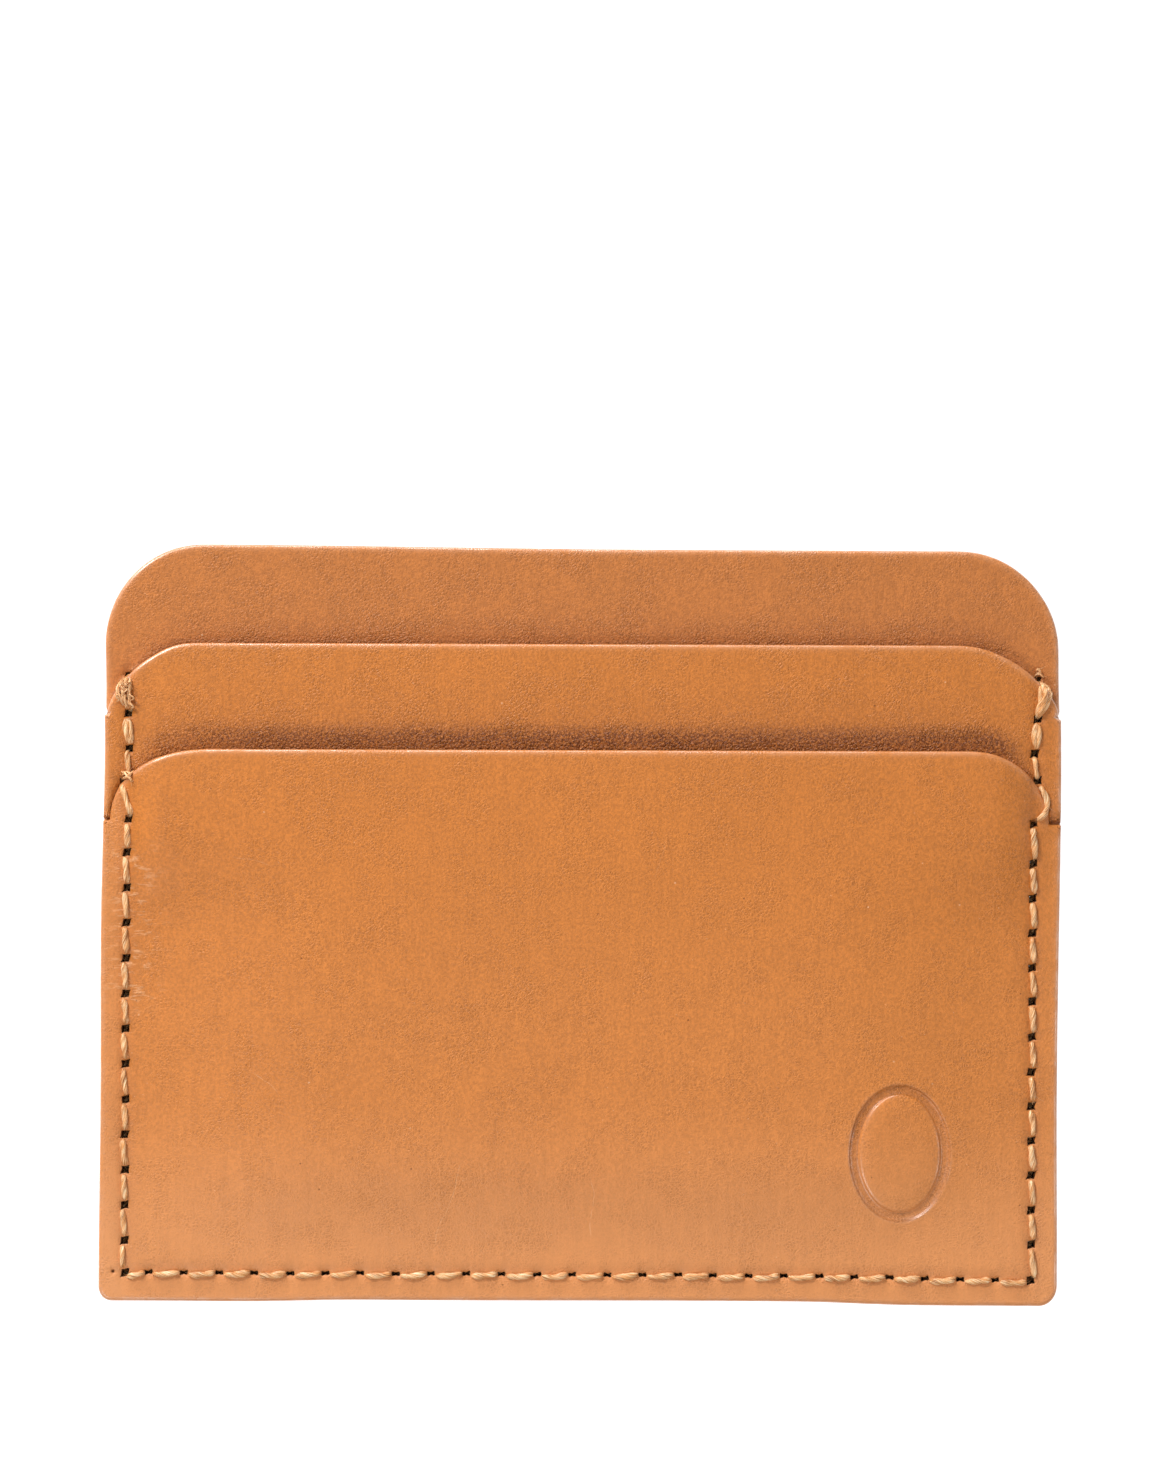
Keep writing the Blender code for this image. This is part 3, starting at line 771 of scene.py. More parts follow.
# %% The panel builder
PALE_RIM_WIDTH = 0.58 * MM
BUTT_SHARE = 0.85


def leather_panel(name, outline, high, low, fineness, marks, slot_size=1.0, rings=()):
    """A panel with rounded edges and slots.

    high(points) and low(points) are the heights of its two faces, fineness(points) is how close the
    face's points are, and marks(points) gives named values that the finish reads.
    """
    outer_loop = anticlockwise(divided(softened(outline), OUTLINE_STEP))
    normals = inward_normals(outer_loop)
    face_loop = outer_loop + normals * EDGE_ROUND
    slot_numbers = slots_within(face_loop, slot_size)
    rims = [slot_loop(number, SLOT_LIP, slot_size) for number in slot_numbers]
    extra_rings = rings_beside(outer_loop, normals, face_loop, rims) + list(rings)
    face_points, triangles, place = triangulated(face_loop, rims, extra_rings, fineness)
    shell = Shell()
    shell.add(face_points, high(face_points), 0.0)
    shell.add(face_points, low(face_points), 0.0)
    count = len(face_points)
    shell.faces += [tuple(t) for t in triangles]
    shell.faces += [tuple(count + i for i in t[::-1]) for t in triangles]
    above = [place[i] for i in range(len(outer_loop))]
    add_edge(shell, outer_loop, normals, high, low, above, [count + i for i in above])
    slot_wall = []
    start = len(outer_loop)
    for number, rim in zip(slot_numbers, rims):
        above = [place[start + i] for i in range(len(rim))]
        hole = slot_loop(number, 0.0, slot_size)
        slot_wall += add_slot(shell, hole, high, low, above, [count + i for i in above])
        start += len(rim)
    flat = np.concatenate(shell.points)
    spots = np.column_stack([hand_cut(flat), np.concatenate(shell.heights)])
    made = simple_mesh(name, spots, shell.faces)
    made.data.validate()
    made.data.shade_smooth()
    values = marks(flat)
    # How pale the rim is painted: partly burnish, partly a painted highlight on the rounded edge.
    burnish_and_highlight = hill(nearest(flat, outer_loop), PALE_RIM_WIDTH)
    values["edge"] = np.maximum(np.concatenate(shell.edge), burnish_and_highlight)
    # Slot walls and the pricked hole are painted near black, as shade.
    values["slot"] = values.pop("prick", np.zeros(len(flat)))
    values["slot"][slot_wall] = 1.0
    at_butt = hill(flat[:, 1] - TAB_FOOT, 1.0 * MM)
    at_butt = at_butt * smooth((np.abs(flat[:, 0]) - HALF + 2 * MM) / MM)
    values["edge"] *= 1 - BUTT_SHARE * at_butt
    for key, value in values.items():
        layer = made.data.attributes.new(key, "FLOAT", "POINT")
        layer.data.foreach_set("value", value.astype(np.float32))
    print("%s: %d points, %d slots" % (name, len(flat), len(slot_numbers)))
    return made


# %% [markdown]
# ## The four panels
#
# Each panel is the same builder with its own outline and heights. The marks are a strip just above the
# lip of the pocket in front of a panel, painted darker partly as rub and partly as shade, with a painted
# shadow right at the lip, and how far the thread pulls it, which the finish paints as shade along the seam.

# %% Fineness and marks
def seam_fineness(points):
    step = np.full(len(points), STEPS[0])
    away = seam_distance(points)
    step[away < 4.5 * MM] = STEPS[1]
    step[away < 1.7 * MM] = STEPS[2]
    return step


def above_lip(points, pocket):
    """Distance above a pocket's mouth, measured along +Y; negative on the pocket itself."""
    return points[:, 1] - pocket_edge(points[:, 0], pocket)


def lip_fineness(points, pocket):
    step = seam_fineness(points)
    near = np.abs(above_lip(points, pocket) - 1 * MM) < 3 * MM
    step[near] = np.minimum(step[near], STEPS[1])
    return step


# Strengths of the strip above each lip, partly rub and partly painted shade, of the painted lip shadow, and
# of a slight darkening all over.
DARK_STRIP_CORE = 0.62
DARK_STRIP_WIDE = 0.24
PAINTED_LIP_SHADOW = 0.55
DARKER_ALL_OVER = 0.055


def rubbed_and_shaded(points, pocket, strength):
    """How much darker a panel is painted: a strip above the lip, partly rub and partly painted shade, least
    beside the seams; a painted contact shadow right at the lip; and a little all over.
    """
    gap = above_lip(points, pocket)
    from_left = smooth((points[:, 0] + 47 * MM) / (17 * MM))
    rising = 0.72 + 0.28 * smooth((gap - 0.2 * MM) / (1.0 * MM))
    core = rising * (1 - smooth((gap - 1.1 * MM) / (2.4 * MM)))
    wide = hill(np.clip(gap - 1.0 * MM, 0, 1), 3.6 * MM)
    rub_and_shade = strength * (DARK_STRIP_CORE * core * (0.5 + 0.5 * from_left) + DARK_STRIP_WIDE * wide)
    rub_and_shade *= 0.15 + 0.85 * smooth((HALF - np.abs(points[:, 0]) - 2.6 * MM) / (4 * MM))
    # A painted contact shadow right at the lip.
    lip_shadow = PAINTED_LIP_SHADOW * hill(np.clip(gap, 0, 1), 0.45 * MM)
    return np.maximum(rub_and_shade, lip_shadow) * (gap > -1 * MM) + DARKER_ALL_OVER


def marks_for(pocket, strength=1.0):
    """The painted dark strip and lip shadow, and the pull, of a panel that has a pocket in front of it, or
    none.
    """
    def marks(points):
        rub_and_shade = rubbed_and_shaded(points, pocket, strength) if pocket else np.zeros(len(points))
        return {"rub_and_shade": rub_and_shade, "pull": hill(seam_distance(points), 1.1 * MM)}
    return marks


# %% Rear panel, with the channel that the rear thread lies in
CHANNEL_DEPTH = 0.62 * MM
CHANNEL_FLAT = 0.4464 * MM
CHANNEL_WALL = 0.372 * MM
REAR_SLOTS = 0.42
CENTRE_SLOTS = 0.8
# Strength of the centre panel's painted dark strip above the upper pocket's lip.
CENTRE_STRIP_STRENGTH = 0.34
BARE_OVER = 0.4 * MM


def rear_top(points):
    return rear_high.z + pressed(points[:, 0], points[:, 1])


def rear_bottom(points):
    away = seam_distance(points)
    return rear_low.z + CHANNEL_DEPTH * (1 - smooth((away - CHANNEL_FLAT) / CHANNEL_WALL))


rear_skin = leather_panel(
    "rear_leather", both_sides(body_side), rear_top, rear_bottom, seam_fineness, marks_for(None),
    slot_size=REAR_SLOTS,
)

# %% Centre panel
def centre_bottom(points):
    return centre_low.z - pressed(points[:, 0], points[:, 1])


def centre_top(points):
    bare = smooth(above_lip(points, UPPER) / BARE_OVER)
    return centre_high.z + pressed(points[:, 0], points[:, 1]) * (1 - bare) - pull(points) * bare


centre_skin = leather_panel(
    "centre_leather", both_sides(body_side), centre_top, centre_bottom,
    lambda points: lip_fineness(points, UPPER), marks_for(UPPER, CENTRE_STRIP_STRENGTH),
    slot_size=CENTRE_SLOTS,
)

# %% [markdown]
# The part of the upper pocket that nobody sees is pared thin towards its edges. The front pocket can then
# climb over it in a long gentle slope instead of a ridge. So its top is cut down to fit under the
# front pocket's back.

# %% Upper pocket
def upper_bottom(points):
    x, y = points[:, 0], points[:, 1]
    return upper_low.z - pressed(x, y) + puff(x, y, UPPER_MOUTH)


def front_bottom(points):
    x, y = points[:, 0], points[:, 1]
    swell = FRONT_PUFF * puff(x, y, FRONT_MOUTH)
    return upper_high.z - front_thickness(x, y) - pressed(x, y) + front_rise(x, y) + swell


def upper_top(points):
    x, y = points[:, 0], points[:, 1]
    above = above_lip(points, FRONT)
    bare = smooth(above / BARE_OVER)
    full = upper_high.z + puff(x, y, UPPER_MOUTH) - pull(points) * bare
    room = front_bottom(points) - HAIRLINE
    squeezed = hill(np.clip(above, 0, 1), 0.5 * MM) * smooth((y - TAB_FOOT - 0.2 * MM) / (0.8 * MM))
    squeezed = np.where(above < 0, 1.0, squeezed)
    return full - squeezed * np.clip(full - room, 0.0, 1.0)


upper_skin = leather_panel(
    "upper_pocket_leather", both_sides(upper_side), upper_top, upper_bottom,
    lambda points: lip_fineness(points, FRONT), marks_for(FRONT),
)

# %% [markdown]
# The front pocket carries the stamp: a plain upright oval, pressed in with a hot brass die. Its line is
# sunk sharply, and the field inside it stands a little proud and domed, as leather does when the die
# squeezes it from all sides.

# %% Front pocket with its stamp
STAMP_CENTRE = np.array([HALF - 16.5 * MM, BASE + 15.6 * MM])
STAMP_HALF = np.array([5.4 * MM, 7.25 * MM])
STAMP_LINE = 0.95 * MM
STAMP_WALL = 0.34 * MM
STAMP_DEPTH = 0.25 * MM
STAMP_DOME = 0.16 * MM


def stamp_distance(points):
    """Roughly the distance outside the stamp; negative inside it."""
    scaled = (points - STAMP_CENTRE) / STAMP_HALF
    radius = np.linalg.norm(scaled, axis=1)
    slope = np.linalg.norm(scaled / STAMP_HALF, axis=1) / np.maximum(radius, 1e-6)
    return (radius - 1.0) / slope


def stamp(points):
    """Height added by the stamp: a flat-bottomed line with steep walls round a domed field."""
    away = stamp_distance(points)
    outer_wall = smooth((away + STAMP_WALL) / STAMP_WALL)
    inner_wall = smooth((-away - STAMP_LINE) / STAMP_WALL)
    dome = smooth((-away - STAMP_LINE) / (1.5 * MM))
    swell = hill(np.clip(away, 0, 1), 0.45 * MM) * (away > -STAMP_WALL)
    return STAMP_DEPTH * (outer_wall + inner_wall - 1) + STAMP_DOME * dome + 0.04 * MM * swell


def stamp_rings():
    """Rings of points that follow the stamp's walls, so that they are crisp."""
    angles = np.linspace(0, 2 * math.pi, 130, endpoint=False)
    circle = np.column_stack([np.cos(angles), np.sin(angles)])
    outer_wall = [0.36, 0.14, 0.0, -0.08, -0.17, -0.26, -0.34]
    inner_wall = [-0.6, -0.83, -0.95, -1.03, -1.12, -1.21, -1.29, -1.5]
    return [STAMP_CENTRE + circle * (STAMP_HALF + offset * MM) for offset in outer_wall + inner_wall]


STRAY_PRICK = np.array([[-HALF + 1.5 * MM, BASE + 2.85 * MM]])
PRICK_DEPTH = 0.40 * MM


def prick_rings():
    """Small rings round the hole that was pricked in the wrong place."""
    angles = np.linspace(0, 2 * math.pi, 12, endpoint=False)
    circle = np.column_stack([np.cos(angles), np.sin(angles)])
    return [STRAY_PRICK + circle * radius * MM for radius in (0.06, 0.14, 0.22, 0.34)]


def front_fineness(points):
    step = seam_fineness(points)
    away = stamp_distance(points)
    step[away < 1.2 * MM] = np.minimum(step[away < 1.2 * MM], STEPS[1])
    x, y = np.abs(points[:, 0]), points[:, 1]
    ramps = (np.abs(x - STEM_HALF - 1.5 * MM) < 3 * MM) | (np.abs(y - TAB_FOOT + 1.5 * MM) < 3 * MM)
    step[ramps] = np.minimum(step[ramps], STEPS[1])
    return step


def front_top(points):
    x, y = points[:, 0], points[:, 1]
    prick = PRICK_DEPTH * hill(nearest(points, STRAY_PRICK), 0.17 * MM)
    swell = FRONT_PUFF * puff(x, y, FRONT_MOUTH)
    return upper_high.z + front_rise(x, y) + swell - pull(points) + stamp(points) - prick


def stamp_marks(points):
    """Polish on the stamp's two walls, and a little painted shade in its sunk line."""
    away = stamp_distance(points)
    outer_wall = hill(away + STAMP_WALL / 2, 0.20 * MM)
    inner_wall = hill(away + STAMP_LINE + STAMP_WALL / 2, 0.22 * MM)
    line = smooth((0.02 * MM - away) / (0.1 * MM))
    line = line * smooth((away + STAMP_LINE + 0.1 * MM) / (0.1 * MM))
    # The sunk line is painted a little darker, as shade.
    return {"polish": np.clip(outer_wall + inner_wall, 0, 1), "rub_and_shade": 0.22 * line}


def base_light_amount(points):
    """How much painted light the front pocket gets: most at its base, which leans towards the key light, and
    a little along its margins, more on the left.
    """
    up = points[:, 1] - BASE
    low = 0.33 * (1 - smooth((up - 4 * MM) / (19 * MM)))
    low += 0.09 * (1 - smooth((up - 18 * MM) / (34 * MM)))
    from_side = HALF - np.abs(points[:, 0])
    margin = np.where(points[:, 0] < 0, 0.16, 0.04) * (1 - smooth((from_side - 1.5 * MM) / (2.5 * MM)))
    return low + margin


def front_marks(points):
    values = marks_for(None)(points)
    values.update(stamp_marks(points))
    values["handled"] = np.ones(len(points))
    # The pricked hole is painted dark, as shade.
    values["prick"] = hill(nearest(points, STRAY_PRICK), 0.15 * MM)
    # Painted light: the front pocket lighter towards its base and along its margins.
    values["painted_base_light"] = base_light_amount(points)
    up = points[:, 1] - BASE
    gathered = smooth((up - 29 * MM) / (3 * MM)) * smooth((49 * MM - up) / (3 * MM))
    values["crease"] = hill(points[:, 0] + HALF - 3.4 * MM, 2.4 * MM) * gathered
    return values


front_skin = leather_panel(
    "front_pocket_leather", both_sides(front_side), front_top, front_bottom,
    front_fineness, front_marks, rings=stamp_rings() + prick_rings(),
)


# %% [markdown]
# ## The thread
#
# Waxed linen, a little over half a millimetre thick, laid by a lockstitch. Every stitch is a separate
# swept tube: it climbs out of one slot, lies in the trough it has pulled, and dives into the next. Its
# plies are shallow twisted ridges on the tube, and stray fibres are thin curved hairs. One long tube
# would be simpler, but then the ends couldn't taper as the thread turns down.

# %% Collecting strands into one mesh
class Strands:
    """Points, faces and fibre coordinates of many tubes that will be one piece."""

    def __init__(self):
        self.points = []
        self.faces = []
        self.fibre = []
        self.total = 0

    def sweep(self, path, radii, across, twist, sides=16, plies=2, ridge=0.32, flat=0.90):
        """A tube along a path; across is the direction that stays level with the leather.

        Its grooves between plies are as deep as the ridge share, and flat is its height over its width.
        """
        count = len(path)
        forward = np.gradient(path, axis=0)
        forward /= np.linalg.norm(forward, axis=1)[:, None]
        level = across - forward * np.sum(forward * across, axis=1)[:, None]
        level /= np.linalg.norm(level, axis=1)[:, None]
        upward = np.cross(level, forward)
        run = np.concatenate([[0], np.cumsum(np.linalg.norm(np.diff(path, axis=0), axis=1))])
        angles = np.linspace(0, 2 * math.pi, sides, endpoint=False)
        offset = rng.uniform(0, 2 * math.pi)
        turned = angles[None, :] + twist * run[:, None] / MM + offset
        groove = 1.0 - ridge * np.abs(np.cos(turned * plies / 2)) ** 5
        reach = radii[:, None] * groove
        ring = (path[:, None, :]
                + level[:, None, :] * (reach * np.cos(angles))[:, :, None]
                + upward[:, None, :] * (reach * flat * np.sin(angles))[:, :, None])
        start = self.total
        shade = rng.uniform(0, 100)
        self.points.append(ring.reshape(-1, 3))
        along_fibre = np.repeat(run[:, None] / MM + shade, sides, axis=1)
        self.fibre.append(np.stack([np.cos(turned), np.sin(turned), along_fibre], axis=2).reshape(-1, 3))
        for i in range(count - 1):
            for j in range(sides):
                k = (j + 1) % sides
                a, b = start + i * sides, start + (i + 1) * sides
                self.faces.append((a + j, a + k, b + k, b + j))
        self.faces.append(tuple(start + j for j in reversed(range(sides))))
        self.faces.append(tuple(start + (count - 1) * sides + j for j in range(sides)))
        self.total += count * sides

    def hair(self, root, heading, length, curl, radius=0.016 * MM):
        """One stray fibre that starts along its heading and bends by the curl."""
        steps = np.linspace(0, 1, 7)[:, None]
        path = root + heading * steps * length + curl * steps ** 2 * length
        across = np.cross(heading, (0.31, 0.52, 0.8))
        radii = radius * (1.05 - 0.7 * steps[:, 0])
        self.sweep(path, radii, across, 0.0, sides=3, plies=1, ridge=0.0, flat=1.0)

    def finish(self, name):
        made = simple_mesh(name, np.concatenate(self.points), self.faces)
        made.data.shade_smooth()
        layer = made.data.attributes.new("fibre", "FLOAT_VECTOR", "POINT")
        layer.data.foreach_set("vector", np.concatenate(self.fibre).astype(np.float32).ravel())
        print("%s: %d points" % (name, self.total))
        return made


# %% What lies under the thread
front_outline = divided(softened(both_sides(front_side)), 1 * MM)
upper_outline = divided(softened(both_sides(upper_side)), 1 * MM)


def face_height(points):
    """Height of the uppermost leather at each point."""
    height = centre_top(points)
    on_upper = inside(points, upper_outline)
    height[on_upper] = upper_top(points[on_upper])
    on_front = inside(points, front_outline)
    height[on_front] = front_top(points[on_front])
    return height


# %% One stitch
THREAD = 0.345 * MM
NEEDLE_DEPTH = 1.7 * MM
SINK = 0.30
STITCH_STEPS = 30
DIVE = 0.36 * MM


def evened(heights, reach):
    """Heights along a path, each the mean of its neighbours within the reach."""
    window = 2 * reach + 1
    return np.convolve(np.pad(heights, reach, mode="edge"), np.ones(window) / window, mode="valid")


def laid_stitch(strands, start, end, sag, thick, surface, depth, twist=1.5, facing=1.0):
    """A stitch from one slot to the next over a surface; facing is -1 on the rear."""
    shares = 0.5 - 0.5 * np.cos(np.linspace(0, math.pi, STITCH_STEPS))
    run = end - start
    length = np.linalg.norm(run)
    aside = np.array([run[1], -run[0]]) / length
    bow = np.sin(math.pi * shares)
    plan = start + shares[:, None] * run + aside * (sag * bow)[:, None]
    dive = DIVE / length
    standing = smooth(shares / dive) * smooth((1 - shares) / dive)
    taper = smooth(shares / (dive * 2.2)) * smooth((1 - shares) / (dive * 1.8))
    radii = thick * (0.50 + 0.53 * taper) * (1 + 0.05 * np.sin(shares * 9 + rng.uniform(0, 6)))
    height = evened(surface(plan), 3) + facing * (radii * SINK - depth * (1 - standing))
    path = np.column_stack([plan, height])
    strands.sweep(path, radii, np.array([aside[0], aside[1], 0.0]), twist)
    return path, radii


def fuzz(strands, path, radii, amount, ends):
    """Stray fibres on a stitch, more of them near its ends if ends is high."""
    for _ in range(amount):
        share = rng.uniform(0.12, 0.88)
        if rng.uniform() < ends:
            share = rng.choice([rng.uniform(0.1, 0.2), rng.uniform(0.8, 0.9)])
        index = int(share * (len(path) - 1))
        swing = rng.uniform(-1.2, 1.2)
        forward = path[min(index + 1, len(path) - 1)] - path[index - 1]
        forward /= np.linalg.norm(forward)
        level = np.cross(forward, (0, 0, 1))
        outward = level * math.sin(swing) + np.array((0, 0, 1)) * math.cos(swing)
        root = path[index] + outward * radii[index] * 0.8
        heading = forward * rng.choice((-1, 1)) * 0.9 + outward * 0.30
        heading /= np.linalg.norm(heading)
        curl = level * rng.normal(0, 0.45) + np.array((0, 0, -0.15))
        strands.hair(root, heading, rng.uniform(0.3, 0.9) * MM, curl, rng.uniform(0.010, 0.020) * MM)


# %% [markdown]
# The stitches near the top of each side aren't ordinary. Each end is a small frayed bundle of back-and-
# forth passes, the next stitch down is sewn twice, and the last single ones wander to follow the
# pocket's shoulder. They are laid strand by strand from short lists of points.

# %% Front stitches
LAST_LEFT = 5
FIRST_RIGHT = len(holes) - 5
BASE_SAG = (0.09, 0.20)
SIDE_SAG = (-0.04, 0.10)
TORN_FIBRES = 4
needle = Strands()


def torn_fibres(index, path):
    """Short thick fibres that the slot's edge has torn from the thread where it comes out."""
    for _ in range(TORN_FIBRES):
        root = path[rng.integers(5, 8)] + rng.normal(0, 0.08 * MM, 3)
        away = -along[index] * 0.4 + outer[index] * rng.uniform(-0.2, 1.0)
        heading = np.array([*away, rng.uniform(0.1, 0.5)])
        heading /= np.linalg.norm(heading)
        length = rng.uniform(0.2, 0.45) * MM
        curl = rng.normal(0, 0.5, 3)
        needle.hair(root, heading, length, curl, rng.uniform(0.022, 0.040) * MM)


for i in range(LAST_LEFT - 1, FIRST_RIGHT):
    on_base = abs(holes[i, 1] - holes[i + 1, 1]) < 1 * MM
    sag = rng.uniform(*BASE_SAG) * MM if on_base else rng.uniform(*SIDE_SAG) * MM
    path, radii = laid_stitch(
        needle, leaving[i], arriving[i + 1], sag, THREAD * rng.uniform(0.93, 1.07),
        face_height, NEEDLE_DEPTH, twist=rng.uniform(1.1, 1.9),
    )
    fuzz(needle, path, radii, 6, ends=0.4)
    torn_fibres(i, path)

# %% Turns inside the slots
TURN_DEPTH = 1.75 * MM
TURN_DIP = 0.45 * MM
TURN_THREAD = THREAD * 0.82
TURN_STEPS = 12


def turn(strands, index):
    """The bend at the bottom of a slot, where the thread turns back round the other one."""
    shares = np.linspace(0, 1, TURN_STEPS)
    run = leaving[index] - arriving[index]
    plan = arriving[index] + shares[:, None] * run
    depth = TURN_DEPTH + TURN_DIP * np.sin(math.pi * shares)
    path = np.column_stack([plan, face_height(holes[index:index + 1])[0] - depth])
    across = np.array([run[1], -run[0], 0.0])
    strands.sweep(path, np.full(TURN_STEPS, TURN_THREAD), across, 1.5, sides=12)


for i in range(len(holes)):
    turn(needle, i)


# %% Strands laid from listed points
def curve(points, steps):
    """A smooth line through control points."""
    points = np.array(points, float)
    padded = np.concatenate([[2 * points[0] - points[1]], points, [2 * points[-1] - points[-2]]])
    made = []
    spans = len(points) - 1
    for share in np.linspace(0, spans - 1e-9, steps):
        i, t = int(share), share - int(share)
        a, b, c, d = padded[i:i + 4]
        made.append(0.5 * (2 * b + (c - a) * t + (2 * a - 5 * b + 4 * c - d) * t ** 2
                           + (3 * b - 3 * c + d - a) * t ** 3))
    return np.array(made)


def loose_strand(strands, stops, thick, twist=1.5, fuzzy=3, steps=34):
    """A strand through (x, up, lift) stops in millimetres, where lift is above the leather."""
    line = curve(stops, steps)
    plan = np.column_stack([line[:, 0] * MM, line[:, 1] * MM + BASE])
    path = np.column_stack([plan, evened(face_height(plan), 4) + line[:, 2] * MM])
    shares = np.linspace(0, 1, steps)
    taper = (0.5 + 0.5 * smooth(shares / 0.2)) * (0.5 + 0.5 * smooth((1 - shares) / 0.2))
    radii = thick * taper
    run = plan[-1] - plan[0]
    across = np.array([run[1], -run[0], 0.0]) / (np.linalg.norm(run) + 1e-9)
    strands.sweep(path, radii, across, twist)
    fuzz(strands, path, radii, fuzzy, ends=0.5)


def doubled(strands, upper, lower, spread):
    """A stitch sewn twice, its two passes lying side by side."""
    for side in (-1, 1):
        path, radii = laid_stitch(
            strands, leaving[upper], arriving[lower], side * spread, THREAD * 0.90,
            face_height, NEEDLE_DEPTH, twist=1.2,
        )
        fuzz(strands, path, radii, 6, ends=0.5)


def bundle(strands, lines, thickness, twists, fuzzy):
    """Passes of thread lying over each other, each of its own thickness and twist."""
    for stops in lines:
        thick = THREAD * rng.uniform(*thickness)
        loose_strand(strands, stops, thick, twist=rng.uniform(*twists), fuzzy=fuzzy)


def knot(strands, lines, thickness, fuzzy, steps):
    """Thin plies of a small knot."""
    for stops in lines:
        loose_strand(strands, stops, THREAD * thickness, twist=3, fuzzy=fuzzy, steps=steps)


SINGLE_STITCHES = [
    # stops, thickness
    ([(-47.2, 57.3, -1.2), (-47.3, 56.8, 0.10), (-47.2, 55.6, 0.12), (-47.15, 54.9, 0.10),
      (-47.3, 54.4, -1.0)], 0.86),
    ([(-47.85, 53.9, -1.0), (-47.75, 53.2, 0.12), (-47.35, 52.0, 0.14), (-46.95, 50.9, 0.10),
      (-47.05, 50.3, -1.2)], 0.98),
    ([(47.35, 57.2, -1.2), (47.45, 56.7, 0.10), (47.55, 55.8, 0.12), (47.7, 55.0, 0.08),
      (47.7, 54.7, -1.2)], 0.78),
    ([(47.9, 54.2, -1.0), (48.25, 53.6, 0.10), (48.75, 52.4, 0.14), (48.6, 51.3, 0.14),
      (48.0, 50.6, 0.08), (47.6, 50.2, -1.2)], 0.95),
]
CORNER_FIBRES = 7
doubled(needle, 1, 2, 0.27 * MM)
doubled(needle, len(holes) - 3, len(holes) - 2, 0.25 * MM)
for stops, thickness in SINGLE_STITCHES:
    loose_strand(needle, stops, THREAD * thickness)
for _ in range(CORNER_FIBRES):
    x = -HALF + rng.uniform(0.4, 1.1) * MM
    y = BASE + rng.uniform(0.2, 1.0) * MM
    root = np.array([x, y, upper_high.z - 0.1 * MM])
    length = rng.uniform(0.25, 0.6) * MM
    needle.hair(root, np.array([-0.62, -0.62, 0.47]), length, rng.normal(0, 0.6, 3))
needle_piece = needle.finish("needle_thread_plies")

# %% Left end, a lumpy frayed bundle and a small knot
left_end = Strands()
LEFT_BUNDLE = [
    [(-47.55, 65.1, -0.9), (-47.95, 64.5, 0.12), (-48.35, 63.6, 0.20), (-47.95, 62.4, 0.20),
     (-47.1, 61.4, -0.7)],
    [(-47.3, 65.2, -0.9), (-47.5, 64.5, 0.35), (-47.75, 63.3, 0.52), (-47.45, 62.2, 0.42),
     (-46.95, 61.3, -0.7)],
    [(-47.1, 65.1, -0.9), (-47.05, 64.3, 0.25), (-47.15, 63.2, 0.36), (-47.05, 62.2, 0.28),
     (-46.85, 61.3, -0.7)],
]
LEFT_KNOT = [
    [(-47.9, 55.05, 0.05), (-47.5, 54.8, 0.35), (-47.0, 54.35, 0.38), (-46.65, 53.95, 0.05)],
    [(-46.6, 55.1, 0.05), (-46.95, 54.75, 0.32), (-47.35, 54.45, 0.48), (-47.85, 54.25, 0.10)],
    [(-47.8, 54.65, 0.05), (-47.4, 54.95, 0.34), (-46.95, 54.8, 0.42), (-47.1, 54.35, 0.25)],
]
FRAYED_PLIES = 18


def frayed_ply():
    """A short loose ply that leans across the left bundle."""
    up = rng.uniform(61.9, 64.3)
    room = np.clip((64.6 - up) / 1.6, 0.3, 1.0)
    reach = rng.uniform(0.4, 1.0)
    middle = -47.45 - 0.18 * (up - 62.0) + rng.uniform(-0.85, 0.75) * room
    rise = rng.uniform(0.35, 0.85)
    lean = rng.uniform(-0.5, 0.5)
    stops = [
        (middle - lean / 2, up + reach / 2, 0.15),
        (middle + rng.normal(0, 0.18), up + reach / 5, rise),
        (middle + rng.normal(0, 0.18), up - reach / 5, rise * rng.uniform(0.7, 1.1)),
        (middle + lean / 2, up - reach / 2, 0.10),
    ]
    loose_strand(left_end, stops, THREAD * rng.uniform(0.26, 0.48), twist=4, fuzzy=3, steps=18)


bundle(left_end, LEFT_BUNDLE, (0.50, 0.62), (1, 3), 12)
for _ in range(FRAYED_PLIES):
    frayed_ply()
knot(left_end, LEFT_KNOT, 0.46, 8, 20)
left_piece = left_end.finish("left_frayed_end")

# %% Right end, a smooth twisted bundle and a small knot
right_end = Strands()
RIGHT_BUNDLE = [
    [(47.9, 65.0, -0.9), (48.35, 64.5, 0.15), (48.95, 63.9, 0.25), (48.75, 62.7, 0.25),
     (48.1, 61.7, 0.2), (47.8, 61.1, -0.7)],
    [(48.0, 65.1, -0.9), (48.3, 64.3, 0.40), (48.5, 63.4, 0.50), (48.25, 62.4, 0.45),
     (47.95, 61.6, 0.3), (47.75, 61.0, -0.7)],
    [(47.9, 64.9, -0.9), (48.0, 64.0, 0.25), (48.0, 63.0, 0.32), (47.85, 62.2, 0.28),
     (47.7, 61.6, 0.15), (47.65, 61.0, -0.7)],
]
RIGHT_KNOT = [
    [(47.6, 65.9, 0.05), (47.75, 66.2, 0.25), (48.0, 66.0, 0.30), (47.9, 65.7, 0.20),
     (47.7, 65.5, 0.05)],
    [(47.5, 65.5, 0.05), (47.8, 65.75, 0.22), (48.15, 65.6, 0.30), (48.4, 65.3, 0.05)],
]
bundle(right_end, RIGHT_BUNDLE, (0.80, 0.92), (1.5, 2.5), 9)
knot(right_end, RIGHT_KNOT, 0.36, 9, 24)
right_piece = right_end.finish("right_frayed_end")

# %% [markdown]
# The rear thread runs in a channel cut into the rear panel, so that the holder rests flat on leather.

